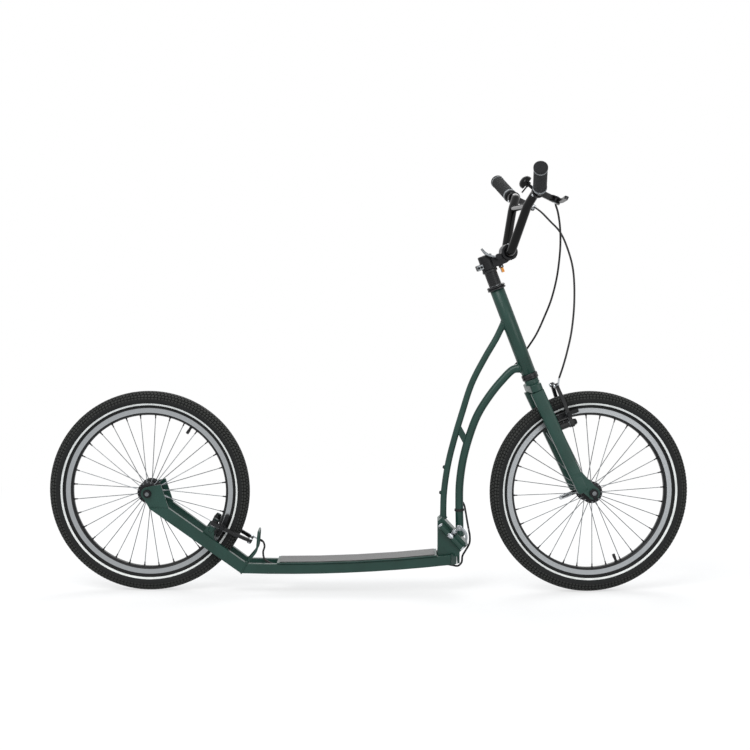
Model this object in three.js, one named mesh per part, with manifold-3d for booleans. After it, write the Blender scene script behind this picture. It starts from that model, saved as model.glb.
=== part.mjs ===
import * as THREE from 'three';
import { mergeVertices } from 'three/addons/utils/BufferGeometryUtils.js';
import Module from 'manifold-3d';

const wasm = await Module();
wasm.setup();

// A kick bike: an adult kick scooter with two spoked wheels, a low footboard between them, a frame
// that folds behind the head tube, rim brakes on both wheels and a tall handlebar with a crossbar.
// Millimetres. X points forward, Y to the rider's left and Z up. The ground is z = 0 and the
// origin lies midway between the two hubs.

// Driving dimensions
const wheelbase = 1092;
const tyreHeight = 40;
const tyreWidth = 48;
const rimRadius = 209;
const rimWidth = 25;
const hubWidth = 100;
const rake = 36.2;
const headTubeBottom = 328;
const headTubeLength = 222;
const barRadius = 11;
const barStack = 76;
const deckHeight = 59.5;
const deckWidth = 96;
const hingeSetback = 345;
const hingeHeight = 144;

// Angles and counts
const headAngle = THREE.MathUtils.degToRad(69);
const restTurn = THREE.MathUtils.degToRad(7.5);
const hingeTilt = THREE.MathUtils.degToRad(47);
const armSlope = THREE.MathUtils.degToRad(36.2);
const rearBrakeAngle = THREE.MathUtils.degToRad(27.4);
const wheelSegments = 48;
const roundSegments = 16;
const rodSegments = 10;
const cableSides = 8;
const nutSides = 6;
const spokeSides = 4;
const right = -1;
const left = 1;

// Clearances that mating pieces share
const fit = 0.3;
const overrun = 6;

const rearHubX = -wheelbase / 2;
const frontHubX = wheelbase / 2;
const tyreRadius = rimRadius + tyreHeight;
const hubHeight = tyreRadius;
const hingeX = frontHubX - hingeSetback;
const headTubeTop = headTubeBottom + headTubeLength;
const barClampHeight = headTubeTop + barStack;

// Frames of reference. The steering frame has its Z along the steering axis, its X forward and its
// origin at the foot of the perpendicular from the front hub. The hinge frame has its X down along
// the fold axis and its Z out of the joint's face.
const steeringTilt = headAngle - Math.PI / 2;
const steeringOrigin = new THREE.Vector3(
  frontHubX - rake * Math.sin(headAngle),
  0,
  hubHeight - rake * Math.cos(headAngle),
);

const vector = (x, y, z) => new THREE.Vector3(x, y, z);

function steeringToWorld(x, y, z) {
  return vector(x, y, z).applyAxisAngle(vector(0, 1, 0), steeringTilt).add(steeringOrigin);
}

function hingeToWorld(x, y, z) {
  return vector(x, y, z).applyAxisAngle(vector(0, 1, 0), hingeTilt).add(vector(hingeX, 0, hingeHeight));
}

// Solids, and their way back to a mesh

function toSolid(geometry) {
  const bare = geometry.clone();
  bare.deleteAttribute('normal');
  bare.deleteAttribute('uv');
  const merged = mergeVertices(bare);
  const corners = merged.index.array;
  const triangles = [];
  for (let i = 0; i < corners.length; i += 3) {
    const [a, b, c] = corners.slice(i, i + 3);
    if (a !== b && b !== c && c !== a) triangles.push(a, b, c);
  }
  return new wasm.Manifold(new wasm.Mesh({
    numProp: 3,
    vertProperties: new Float32Array(merged.attributes.position.array),
    triVerts: new Uint32Array(triangles),
  }));
}

function toGeometry(solid) {
  const mesh = solid.getMesh();
  const geometry = new THREE.BufferGeometry();
  geometry.setAttribute('position', new THREE.BufferAttribute(mesh.vertProperties, 3));
  geometry.setIndex(new THREE.BufferAttribute(mesh.triVerts, 1));
  geometry.computeVertexNormals();
  return geometry;
}

const join = (first, ...others) => others.reduce((sum, other) => sum.add(other), first);
const cut = (first, ...others) => others.reduce((rest, other) => rest.subtract(other), first);

// A box between two opposite corners, whichever way round they are given
function block(from, to) {
  const size = from.map((value, i) => Math.abs(to[i] - value));
  const geometry = new THREE.BoxGeometry(...size);
  geometry.translate(...from.map((value, i) => (value + to[i]) / 2));
  return toSolid(geometry);
}

// A round bar between two points
function rod(from, to, radius, sides = rodSegments) {
  const run = vector().subVectors(to, from);
  const geometry = new THREE.CylinderGeometry(radius, radius, run.length(), sides);
  const turn = new THREE.Quaternion().setFromUnitVectors(vector(0, 1, 0), run.clone().normalize());
  geometry.applyQuaternion(turn);
  geometry.translate(...vector().lerpVectors(from, to, 0.5).toArray());
  return toSolid(geometry);
}

// A flat outline of [x, z] corners, made thick along Y
function plate(corners, fromY, toY) {
  const shape = new THREE.Shape(corners.map(([x, z]) => new THREE.Vector2(x, z)));
  const depth = Math.abs(toY - fromY);
  const geometry = new THREE.ExtrudeGeometry(shape, { depth, bevelEnabled: false });
  geometry.rotateX(Math.PI / 2);
  geometry.translate(0, Math.max(fromY, toY), 0);
  return toSolid(geometry);
}

// A flat outline of [x, y] corners, made thick along Z
function slab(corners, fromZ, toZ) {
  const shape = new THREE.Shape(corners.map(([x, y]) => new THREE.Vector2(x, y)));
  const depth = Math.abs(toZ - fromZ);
  const geometry = new THREE.ExtrudeGeometry(shape, { depth, bevelEnabled: false });
  geometry.translate(0, 0, Math.min(fromZ, toZ));
  return toSolid(geometry);
}

// A turned shape about the Y axis, from [radius, y] corners that run anticlockwise
function turned(corners, segments = roundSegments) {
  const closed = [...corners, corners[0]];
  return toSolid(new THREE.LatheGeometry(closed.map(([r, y]) => new THREE.Vector2(r, y)), segments));
}

// The same about the Z axis, from [radius, z] corners
function turnedUpright(corners, segments = roundSegments) {
  const closed = [...corners, corners[0]];
  const geometry = new THREE.LatheGeometry(closed.map(([r, z]) => new THREE.Vector2(r, z)), segments);
  geometry.rotateX(Math.PI / 2);
  return toSolid(geometry);
}

// A plain ring about the Z axis
const sleeve = (inner, outer, fromZ, toZ, segments = roundSegments) => turnedUpright(
  [[inner, fromZ], [outer, fromZ], [outer, toZ], [inner, toZ]],
  segments,
);

// A tube whose section is a polygon, swept along a curve
function sweep(path, radius, sides, steps) {
  const section = [];
  for (let i = 0; i < sides; i += 1) {
    const angle = (2 * Math.PI * i) / sides;
    section.push(new THREE.Vector2(radius * Math.cos(angle), radius * Math.sin(angle)));
  }
  const options = { steps, extrudePath: path, bevelEnabled: false };
  return toSolid(new THREE.ExtrudeGeometry(new THREE.Shape(section), options));
}

const smoothPath = (points) => new THREE.CatmullRomCurve3(points, false, 'centripetal');

// A path through set points with set directions, so that straight runs need no steps between
class SetPath extends THREE.Curve {
  constructor(points, directions) {
    super();
    this.points = points;
    this.directions = directions;
  }

  getPointAt(share) {
    return this.points[Math.round(share * (this.points.length - 1))].clone();
  }

  getTangentAt(share) {
    return this.directions[Math.round(share * (this.points.length - 1))].clone();
  }
}

// Straight runs whose corners are rounded over a given length on each side
const bendSteps = 3;

function bentPath(corners, reach) {
  const last = corners.length - 1;
  const points = [corners[0]];
  const directions = [vector().subVectors(corners[1], corners[0]).normalize()];
  for (let i = 1; i < last; i += 1) {
    const corner = corners[i];
    const before = corner.clone().add(vector().subVectors(corners[i - 1], corner).setLength(reach));
    const after = corner.clone().add(vector().subVectors(corners[i + 1], corner).setLength(reach));
    const bend = new THREE.QuadraticBezierCurve3(before, corner, after);
    for (let step = 0; step <= bendSteps; step += 1) {
      points.push(bend.getPoint(step / bendSteps));
      directions.push(bend.getTangent(step / bendSteps));
    }
  }
  points.push(corners[last]);
  directions.push(vector().subVectors(corners[last], corners[last - 1]).normalize());
  return new SetPath(points, directions);
}

const sweepBent = (path, radius, sides) => sweep(path, radius, sides, path.points.length - 1);

// Puts shares of a length and a height round a start point
const spread = (shares, start, length, height) => shares.map(
  ([along, up]) => [start[0] + along * length, start[1] + up * height],
);

// Turns a solid about Y and moves it, for a piece drawn in a frame of its own
function placed(solid, angle, move) {
  const matrix = new THREE.Matrix4().makeRotationY(angle).setPosition(move);
  const geometry = toGeometry(solid);
  geometry.applyMatrix4(matrix);
  return toSolid(geometry);
}

// Materials, one for each mesh
const finish = (color, roughness, metalness) => (
  () => new THREE.MeshStandardMaterial({ color, roughness, metalness })
);
const greenPaint = finish('#2f5a4c', 0.35, 0.1);
const blackPaint = finish('#16171a', 0.35, 0.2);
const blackMetal = finish('#1b1c1f', 0.4, 0.6);
const brightMetal = finish('#c9ccd0', 0.3, 0.9);
const dullMetal = finish('#9a9da2', 0.45, 0.8);
const tyreRubber = finish('#1a1a1b', 0.85, 0);
const gripRubber = finish('#2b2c2e', 0.8, 0);
const cableJacket = finish('#121213', 0.5, 0);
const matCovering = finish('#2a2c2d', 0.9, 0);
const orangePlastic = finish('#e8641c', 0.45, 0);

const kickBike = new THREE.Group();
const tiltedFrame = new THREE.Group();
tiltedFrame.position.copy(steeringOrigin);
tiltedFrame.rotation.y = steeringTilt;
const steeredFrame = new THREE.Group();
steeredFrame.rotation.z = restTurn;
tiltedFrame.add(steeredFrame);
kickBike.add(tiltedFrame);

function addPiece(parent, name, solid, material) {
  const mesh = new THREE.Mesh(toGeometry(solid), material());
  mesh.name = name;
  parent.add(mesh);
}

// Wheels: tyre, rim, hub and two sets of radial spokes, drawn round the Y axis

const rimWall = 2;
const rimWellDepth = 7;
const rimTrackDepth = 14;
const rimBedDepth = 21;
const rimWellRadius = rimRadius - rimWellDepth;
const rimTrackRadius = rimRadius - rimTrackDepth;
const rimBedRadius = rimRadius - rimBedDepth;
const rimBedWidth = 12;
const flangeRadius = 27;
const flangeThickness = 3;
const flangeOffset = 33;
const hubShellRadius = 13;
const hubEndRadius = 12;
const axleRadius = 5;
const locknutRadius = 8.5;
const locknutWidth = 4;
const spokeRadius = 1;
const spokesPerSide = 16;
const rearSpokeTurn = THREE.MathUtils.degToRad(6.5);
const frontSpokeTurn = THREE.MathUtils.degToRad(3.9);
const spokeSpread = 3.5;
const bandThickness = 1.6;
const spokeBandWidth = 5;

// Shares of the section's height above the rim and of half its width, from bead to crown
const tyreSectionShares = [[0.12, 0.7], [0.42, 1], [0.76, 0.9], [0.96, 0.46]];

function tyreSolid() {
  const beadWidth = rimWidth / 2 - rimWall - fit;
  const side = spread(
    tyreSectionShares,
    [rimRadius, 0],
    tyreRadius - rimRadius,
    tyreWidth / 2,
  );
  const half = [[rimWellRadius + fit, beadWidth], [rimRadius + fit, beadWidth], ...side];
  const mirrored = half.map(([r, y]) => [r, -y]);
  return turned([...mirrored, [tyreRadius, 0], ...half.reverse()], wheelSegments);
}

function rimSolid() {
  const outer = rimWidth / 2;
  const inner = outer - rimWall;
  const half = [
    [rimBedRadius, rimBedWidth / 2], [rimTrackRadius, outer], [rimRadius, outer],
    [rimRadius, inner], [rimWellRadius, inner],
  ];
  const mirrored = half.map(([r, y]) => [r, -y]);
  return turned([...mirrored, ...half.reverse()], wheelSegments);
}

function hubSolid() {
  const end = hubWidth / 2 - locknutWidth - fit;
  const bore = axleRadius + fit;
  const half = [
    [bore, end], [hubEndRadius, end],
    [hubEndRadius, flangeOffset + flangeThickness / 2],
    [flangeRadius, flangeOffset + flangeThickness / 2],
    [flangeRadius, flangeOffset - flangeThickness / 2],
    [hubShellRadius, flangeOffset - flangeThickness / 2],
  ];
  const mirrored = half.map(([r, y]) => [r, -y]);
  return turned([...mirrored, ...half.reverse()], roundSegments);
}

// The spokes leave a band on the flange's edge, where their heads lie, and run straight out to the
// rim, those of the left side midway between those of the right side.
function spokesSolid(side, turn) {
  const holeStep = (2 * Math.PI) / spokesPerSide;
  const phase = turn + (side === left ? holeStep / 2 : 0);
  const from = flangeRadius + fit + spokeRadius;
  const to = rimBedRadius - fit - spokeRadius;
  const bandInner = flangeRadius + fit;
  const bandFrom = side * flangeOffset - spokeBandWidth / 2;
  const bandTo = side * flangeOffset + spokeBandWidth / 2;
  const band = turned([
    [bandInner, bandFrom], [bandInner + bandThickness, bandFrom],
    [bandInner + bandThickness, bandTo], [bandInner, bandTo],
  ], spokesPerSide * 2);
  const spokes = [];
  for (let i = 0; i < spokesPerSide; i += 1) {
    const angle = i * holeStep + phase;
    spokes.push(rod(
      vector(from * Math.cos(angle), side * flangeOffset, from * Math.sin(angle)),
      vector(to * Math.cos(angle), side * spokeSpread, to * Math.sin(angle)),
      spokeRadius,
      spokeSides,
    ));
  }
  return join(band, ...spokes);
}

function addWheel(parent, prefix, hub, spokeTurn) {
  const wheel = new THREE.Group();
  wheel.position.copy(hub);
  parent.add(wheel);
  addPiece(wheel, `${prefix}_tyre`, tyreSolid(), tyreRubber);
  addPiece(wheel, `${prefix}_rim`, rimSolid(), brightMetal);
  addPiece(wheel, `${prefix}_hub`, hubSolid(), blackMetal);
  addPiece(wheel, `${prefix}_spokes_right`, spokesSolid(right, spokeTurn), brightMetal);
  addPiece(wheel, `${prefix}_spokes_left`, spokesSolid(left, spokeTurn), brightMetal);
}

addWheel(kickBike, 'rear', vector(rearHubX, 0, hubHeight), rearSpokeTurn);
addWheel(steeredFrame, 'front', vector(rake, 0, 0), frontSpokeTurn);

// Axles: a rod with locknuts inside the dropouts and nuts or a quick-release skewer outside

const dropoutThickness = 6;
const dropoutFace = hubWidth / 2 + fit;
const nutFace = dropoutFace + dropoutThickness + fit;
const nutRadius = 8.7;
const nutWidth = 7.5;
const axleStub = 2.5;

function axleRod(rightEnd, leftEnd) {
  return join(
    rod(vector(0, -rightEnd, 0), vector(0, leftEnd, 0), axleRadius),
    rod(vector(0, -hubWidth / 2, 0), vector(0, locknutWidth - hubWidth / 2, 0), locknutRadius),
    rod(vector(0, hubWidth / 2, 0), vector(0, hubWidth / 2 - locknutWidth, 0), locknutRadius),
  );
}

function rearAxleSolid() {
  const end = nutFace + nutWidth + axleStub;
  const nut = (side) => rod(
    vector(0, side * nutFace, 0),
    vector(0, side * (nutFace + nutWidth), 0),
    nutRadius,
    nutSides,
  );
  return join(axleRod(end, end), nut(right), nut(left));
}

const camWidth = 15;
const camRadius = 9;
const leverGap = 0.5;
const hubLeverLength = 66;
const hubLeverWidth = 12;
const hubLeverThickness = 6;
const hubPinRadius = 2.5;
const hubLeverY = nutFace + camWidth / 2;

// The lever's eye turns on an upright pin in a slot of the cam housing
function frontAxleSolid() {
  const slotReach = camRadius + overrun;
  const body = join(
    axleRod(nutFace + nutWidth, nutFace + fit),
    rod(vector(0, -nutFace, 0), vector(0, -nutFace - nutWidth, 0), camRadius),
    rod(vector(0, nutFace, 0), vector(0, nutFace + camWidth, 0), camRadius),
  );
  const slot = block(
    [-slotReach, nutFace + leverGap * 2, -hubLeverWidth / 2 + fit],
    [slotReach, nutFace + camWidth + overrun, hubLeverWidth / 2 - fit],
  );
  const pin = rod(
    vector(0, hubLeverY, -hubLeverWidth / 2),
    vector(0, hubLeverY, hubLeverWidth / 2),
    hubPinRadius,
  );
  return join(cut(body, slot), pin);
}

function hubLeverSolid() {
  const half = hubLeverWidth / 2 - 2 * fit;
  const eye = rod(vector(0, 0, -half), vector(0, 0, half), camWidth / 2 - 2 * leverGap);
  const neck = block([0, -hubLeverThickness / 2, -half], [-hubLeverLength / 2, hubLeverThickness / 2, half]);
  const tip = rod(
    vector(-hubLeverLength / 2, 0, -half),
    vector(-hubLeverLength / 2, 0, half),
    hubLeverThickness / 2,
  );
  const paddle = block(
    [-hubLeverLength / 2, -hubLeverThickness / 2, -hubLeverWidth / 2],
    [-hubLeverLength, hubLeverThickness / 2, hubLeverWidth / 2],
  );
  const bore = rod(vector(0, 0, -hubLeverWidth), vector(0, 0, hubLeverWidth), hubPinRadius + fit);
  return cut(join(eye, neck, tip, paddle), bore);
}

const rearAxleGroup = new THREE.Group();
rearAxleGroup.position.set(rearHubX, 0, hubHeight);
kickBike.add(rearAxleGroup);
addPiece(rearAxleGroup, 'rear_axle', rearAxleSolid(), brightMetal);

const frontAxleGroup = new THREE.Group();
frontAxleGroup.position.set(rake, 0, 0);
steeredFrame.add(frontAxleGroup);
addPiece(frontAxleGroup, 'front_axle', frontAxleSolid(), brightMetal);
const hubLeverGroup = new THREE.Group();
hubLeverGroup.position.set(0, hubLeverY, 0);
frontAxleGroup.add(hubLeverGroup);
addPiece(hubLeverGroup, 'hub_lever', hubLeverSolid(), blackMetal);

// Rails: two bowed rectangular tubes under the footboard, and arms that rise from them to the
// rear hub. The bow is a long arc with its lowest point behind the middle.

const bowRadius = 3600;
const bowReach = 336;
const bowLowest = rearHubX + bowReach;
const railDepth = 25;
const railThickness = 15;
const railCentreY = 37.5;
const railOverlap = 2;
const railFront = hingeX + railOverlap;
const bowSteps = 8;
const armDepth = 28;
const armEndReach = 26;
const armEndDrop = 34.2;
const armEndX = rearHubX + armEndReach;
const armEndHeight = hubHeight - armEndDrop;
const armSplayShare = 0.073;

const bowAt = (x, offset) => (
  deckHeight + bowRadius - Math.sqrt((bowRadius - offset) ** 2 - (x - bowLowest) ** 2)
);

function bowEdge(fromX, toX, offset) {
  const edge = [];
  for (let i = 0; i <= bowSteps; i += 1) {
    const x = THREE.MathUtils.lerp(fromX, toX, i / bowSteps);
    edge.push([x, bowAt(x, offset)]);
  }
  return edge;
}

// Height of an arm's edge, which lies a given distance above the arm's centre line
const armEdgeAt = (x, offset) => (
  armEndHeight - (x - armEndX) * Math.tan(armSlope) + offset / Math.cos(armSlope)
);

// Where an edge of the arm meets the matching edge of the rail, found by bisection
function mitreX(armOffset, railOffset) {
  let behind = rearHubX;
  let ahead = bowLowest;
  for (let i = 0; i < 40; i += 1) {
    const middle = (behind + ahead) / 2;
    if (armEdgeAt(middle, armOffset) > bowAt(middle, railOffset)) behind = middle;
    else ahead = middle;
  }
  return ahead;
}

const mitreTop = mitreX(armDepth / 2, railDepth / 2);
const mitreBottom = mitreX(-armDepth / 2, -railDepth / 2);
const bendX = (mitreTop + mitreBottom) / 2;

function railSolid(side) {
  const outline = [
    ...bowEdge(mitreBottom + fit, railFront, -railDepth / 2),
    ...bowEdge(railFront, mitreTop + fit, railDepth / 2),
  ];
  const centre = side * railCentreY;
  return plate(outline, centre - railThickness / 2, centre + railThickness / 2);
}

const dropoutRadius = 16;
const dropoutTopReach = 33;
const dropoutTopRise = 23;
const armTopReach = 52;
const armBottomReach = 4;
const armTopEndX = rearHubX + armTopReach;
const armBottomEndX = rearHubX + armBottomReach;

// The arm's plan splays outward, so it is drawn straight and then sheared
function armTube(side) {
  const outline = [
    [mitreTop - fit, armEdgeAt(mitreTop - fit, armDepth / 2)],
    [armTopEndX, armEdgeAt(armTopEndX, armDepth / 2)],
    [armBottomEndX, armEdgeAt(armBottomEndX, -armDepth / 2)],
    [mitreBottom - fit, armEdgeAt(mitreBottom - fit, -armDepth / 2)],
  ];
  const straight = toGeometry(plate(outline, -railThickness / 2, railThickness / 2));
  const shear = new THREE.Matrix4().makeShear(-side * armSplayShare, 0, 0, 0, 0, 0);
  straight.translate(-bendX, 0, 0);
  straight.applyMatrix4(shear);
  straight.translate(bendX, side * railCentreY, 0);
  return toSolid(straight);
}

function dropoutPlate(side) {
  const outline = [
    [armBottomEndX, armEdgeAt(armBottomEndX, -armDepth / 2)],
    [armTopEndX, armEdgeAt(armTopEndX, -armDepth / 2)],
    [armTopEndX, armEdgeAt(armTopEndX, armDepth / 2)],
    [rearHubX + dropoutTopReach, hubHeight + dropoutTopRise],
    [rearHubX, hubHeight + dropoutRadius],
    [rearHubX - dropoutRadius, hubHeight],
  ];
  const from = side * dropoutFace;
  const to = side * (dropoutFace + dropoutThickness);
  const disc = rod(
    vector(rearHubX, from, hubHeight),
    vector(rearHubX, to, hubHeight),
    dropoutRadius,
    roundSegments,
  );
  const hole = rod(
    vector(rearHubX, from - side * overrun, hubHeight),
    vector(rearHubX, to + side * overrun, hubHeight),
    axleRadius + fit,
  );
  return cut(join(plate(outline, from, to), disc), hole);
}

// Rim brakes. Each brake is drawn in a frame with X out along the wheel's radius, Y to the left and
// Z along the boss; facing is the side of the boss on which the arms sit.

const bossInset = 29;
const bossRadial = rimRadius - bossInset;
const bossY = 40;
const bossRadius = 8;
const bossPinRadius = 4.5;
const armSleeveRadius = 8;
const armSleeveLength = 16;
const bossHeadRadius = 6.5;
const bossHeadLength = 4;
const rearBossLength = 14;
const frontArmPlane = 42;
const noodleRadius = 2.3;
const noodleReach = 19;
const noodleY = 45;
const padInset = 7.5;
const padRadial = rimRadius - padInset;
const padHeight = 11;
const padThickness = 8;
const padLength = 64;
const padClearance = 2;
const padStudRadius = 4;
const brakeReach = 69;
const brakeTopRadial = rimRadius + brakeReach;
const brakeTopY = 26;
const brakeThickness = 10;
const anchorRadius = 5;
const anchorStub = 1.25;

// Shares along the arm, from its foot to its tip, and across it, from its inner face outward
const brakeBladeShares = [
  [0, 0.52], [0, 1], [0.28, 0.96], [0.68, 0.8], [1, 0.28], [0.97, 0], [0.72, 0.42], [0.3, 0.42],
];

function bossSolid(side, facing, length) {
  const at = (z) => vector(bossRadial, side * bossY, facing * z);
  const headFrom = armSleeveLength + 2 * fit;
  return join(
    rod(at(-length), at(0), bossRadius),
    rod(at(-fit), at(headFrom + fit), bossPinRadius),
    rod(at(headFrom), at(headFrom + bossHeadLength), bossHeadRadius, nutSides),
  );
}

// The bent pipe that turns the cable from outside the arm to the gap between the arms
function noodleSolid(side, z) {
  const path = bentPath([
    vector(brakeTopRadial, side * brakeTopY, z),
    vector(brakeTopRadial, side * noodleY, z),
    vector(brakeTopRadial + noodleReach, side * noodleY, z),
  ], noodleReach / 2);
  return sweepBent(path, noodleRadius, cableSides);
}

function brakeArmSolid(side, facing, cableSide) {
  const foot = bossRadial - bossPinRadius;
  const across = bossY + anchorRadius + fit - brakeTopY + 2 * anchorRadius;
  const corners = spread(
    brakeBladeShares,
    [foot, brakeTopY - anchorRadius],
    brakeTopRadial + anchorRadius - foot,
    across,
  ).map(([r, y]) => [r, side * y]);
  const bladeFrom = facing * anchorRadius / 2;
  const bladeTo = facing * (anchorRadius / 2 + brakeThickness);
  const anchorTo = bladeTo + facing * anchorStub;
  const padFrom = rimWidth / 2 + padClearance;
  const padTo = padFrom + padThickness;
  const middle = facing * (anchorRadius / 2 + brakeThickness / 2);
  const at = (r, y, z) => vector(r, side * y, z);
  const body = join(
    slab(corners, bladeFrom, bladeTo),
    rod(
      at(bossRadial, bossY, facing * fit),
      at(bossRadial, bossY, facing * armSleeveLength),
      armSleeveRadius,
    ),
    block(
      [padRadial - padHeight / 2, side * padFrom, middle - padLength / 2],
      [padRadial + padHeight / 2, side * padTo, middle + padLength / 2],
    ),
    rod(at(padRadial, padTo - fit, middle), at(padRadial, bossY, middle), padStudRadius),
    rod(at(brakeTopRadial, brakeTopY, 0), at(brakeTopRadial, brakeTopY, anchorTo), anchorRadius),
    ...(side === cableSide ? [noodleSolid(side, middle)] : []),
  );
  const bore = rod(
    at(bossRadial, bossY, -facing * overrun),
    at(bossRadial, bossY, facing * (armSleeveLength + overrun)),
    bossPinRadius + fit,
  );
  return cut(body, bore);
}

const rearBrakeFrame = vector(rearHubX, 0, hubHeight);
const rearBoss = (side) => placed(bossSolid(side, 1, rearBossLength), rearBrakeAngle, rearBrakeFrame);

// The bracket that lifts the rear boss off its arm, as shares of its length and height
const bracketSetback = 29.8;
const bracketX = rearHubX + bossRadial * Math.cos(rearBrakeAngle) - bracketSetback;
const bracketTop = hubHeight - bossRadial * Math.sin(rearBrakeAngle);
const bracketLength = 32;
const bracketShares = [[0, 0], [1, 0], [1.02, 0.62], [0.82, 1], [0.5, 1], [0.1, 0.55]];
const bracketThickness = 8;

function rearArmSolid(side) {
  const base = armEdgeAt(bracketX + bracketLength, armDepth / 2) - armDepth / 4;
  const bracket = plate(
    spread(bracketShares, [bracketX, base], bracketLength, bracketTop - base),
    side * bossY - bracketThickness / 2,
    side * bossY + bracketThickness / 2,
  );
  return join(armTube(side), dropoutPlate(side), bracket, rearBoss(side));
}

for (const [name, side] of [['right', right], ['left', left]]) {
  addPiece(kickBike, `deck_rail_${name}`, railSolid(side), greenPaint);
  addPiece(kickBike, `rear_arm_${name}`, rearArmSolid(side), greenPaint);
  const rearBrake = placed(brakeArmSolid(side, 1, left), rearBrakeAngle, rearBrakeFrame);
  addPiece(kickBike, `rear_brake_arm_${name}`, rearBrake, blackMetal);
}

// Footboard: a plate that follows the rails, with its covering on top

const deckRearReach = 318;
const deckFrontGap = 33;
const deckRear = rearHubX + deckRearReach;
const deckFront = hingeX - deckFrontGap;
const deckThickness = 3.5;
const matThickness = 1.5;
const matMargin = 6;

function bowedLayer(fromX, toX, bottom, top, halfWidth) {
  const outline = [...bowEdge(fromX, toX, bottom), ...bowEdge(toX, fromX, top)];
  return plate(outline, -halfWidth, halfWidth);
}

const deckBottom = railDepth / 2 + fit;
const deckTop = deckBottom + deckThickness;
addPiece(
  kickBike,
  'deck_plate',
  bowedLayer(deckRear, deckFront, deckBottom, deckTop, deckWidth / 2),
  greenPaint,
);
addPiece(
  kickBike,
  'grip_mat',
  bowedLayer(
    deckRear + matMargin,
    deckFront - matMargin,
    deckTop + fit,
    deckTop + fit + matThickness,
    deckWidth / 2 - matMargin,
  ),
  matCovering,
);

// Heel guard: a bent wire hoop on the rails in front of the rear wheel

const guardWire = 3.3;
const guardHalfWidth = 34;
const guardFootReach = 243;
const guardFootX = rearHubX + guardFootReach;
const guardKneeReach = 25;
const guardKneeRise = 43.5;
const guardKneeHeight = deckHeight + guardKneeRise;
const guardTopReach = 29;
const guardTopRise = 90.5;
const guardTopHeight = deckHeight + guardTopRise;
const guardBend = 12;

// Just above the top of the arm or the rail, whichever is higher
const armTopAt = (x) => Math.max(
  armEdgeAt(x, armDepth / 2 + fit),
  bowAt(x, railDepth / 2 + fit),
);

function heelGuardSolid() {
  const foot = bowAt(guardFootX, railDepth / 2);
  const legPoints = (side) => [
    vector(guardFootX, side * guardHalfWidth, foot - overrun),
    vector(guardFootX + guardKneeReach, side * guardHalfWidth, guardKneeHeight),
    vector(guardFootX + guardTopReach, side * guardHalfWidth, guardTopHeight),
  ];
  const path = bentPath([...legPoints(right), ...legPoints(left).reverse()], guardBend);
  const hoop = sweepBent(path, guardWire, cableSides);
  const behind = guardFootX - overrun * 2;
  const ahead = guardFootX + overrun * 2;
  const bend = mitreX(armDepth / 2 + fit, railDepth / 2 + fit);
  const below = plate(
    [
      [behind, foot - overrun * 2], [ahead, foot - overrun * 2],
      ...[ahead, bend, behind].map((x) => [x, armTopAt(x)]),
    ],
    -deckWidth,
    deckWidth,
  );
  return cut(hoop, below);
}

addPiece(kickBike, 'heel_guard', heelGuardSolid(), greenPaint);

// Fold joint. A barrel on the right side is the hinge: its upper knuckle belongs to the rear frame
// and its lower one to the front plate, with a silver eye rod between them.

const hingeSide = 44;
const hingeY = right * hingeSide;
const knuckleRadius = 8;
const hingePinRadius = 4;
const hingeCapRadius = 6.5;
const hingeCapLength = 4;
const knuckleNear = 8;
const upperKnuckleReach = 34;
const upperKnuckleFrom = -upperKnuckleReach;
const upperKnuckleTo = -knuckleNear;
const lowerKnuckleFrom = knuckleNear;
const lowerKnuckleTo = 41;
const jointOffset = 9;
const jointPlateThickness = 6;
const jointHalfWidth = 33;
const jointTopReach = 46;
const jointTopEnd = -jointTopReach;
const jointBottomEnd = 48;
const boxWall = 4;
const boxRearReach = 31;
const boxTopRise = 34;
const boxTopHeight = hingeHeight + boxTopRise;
const noseReach = 24;
const noseFront = hingeX + noseReach;
const noseTipHalfWidth = 15;
const noseBottomRise = 10.5;
const noseTopRise = 34.5;
const noseBottom = deckHeight + noseBottomRise;
const noseTop = deckHeight + noseTopRise;
const boxLowerReach = 22;
const boxLowerDrop = 44;
const boxLowerFront = hingeX + boxLowerReach;
const boxLowerHeight = hingeHeight - boxLowerDrop;

const rearJointFace = jointOffset - fit / 2;
const frontJointFace = jointOffset + fit / 2;

function hingePoint(t, w) {
  const point = hingeToWorld(t, 0, w);
  return [point.x, point.z];
}

const hingeRod = (from, to, radius) => rod(
  hingeToWorld(from, hingeY, 0),
  hingeToWorld(to, hingeY, 0),
  radius,
);

const hingeBlock = (from, to) => placed(block(from, to), hingeTilt, vector(hingeX, 0, hingeHeight));

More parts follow.
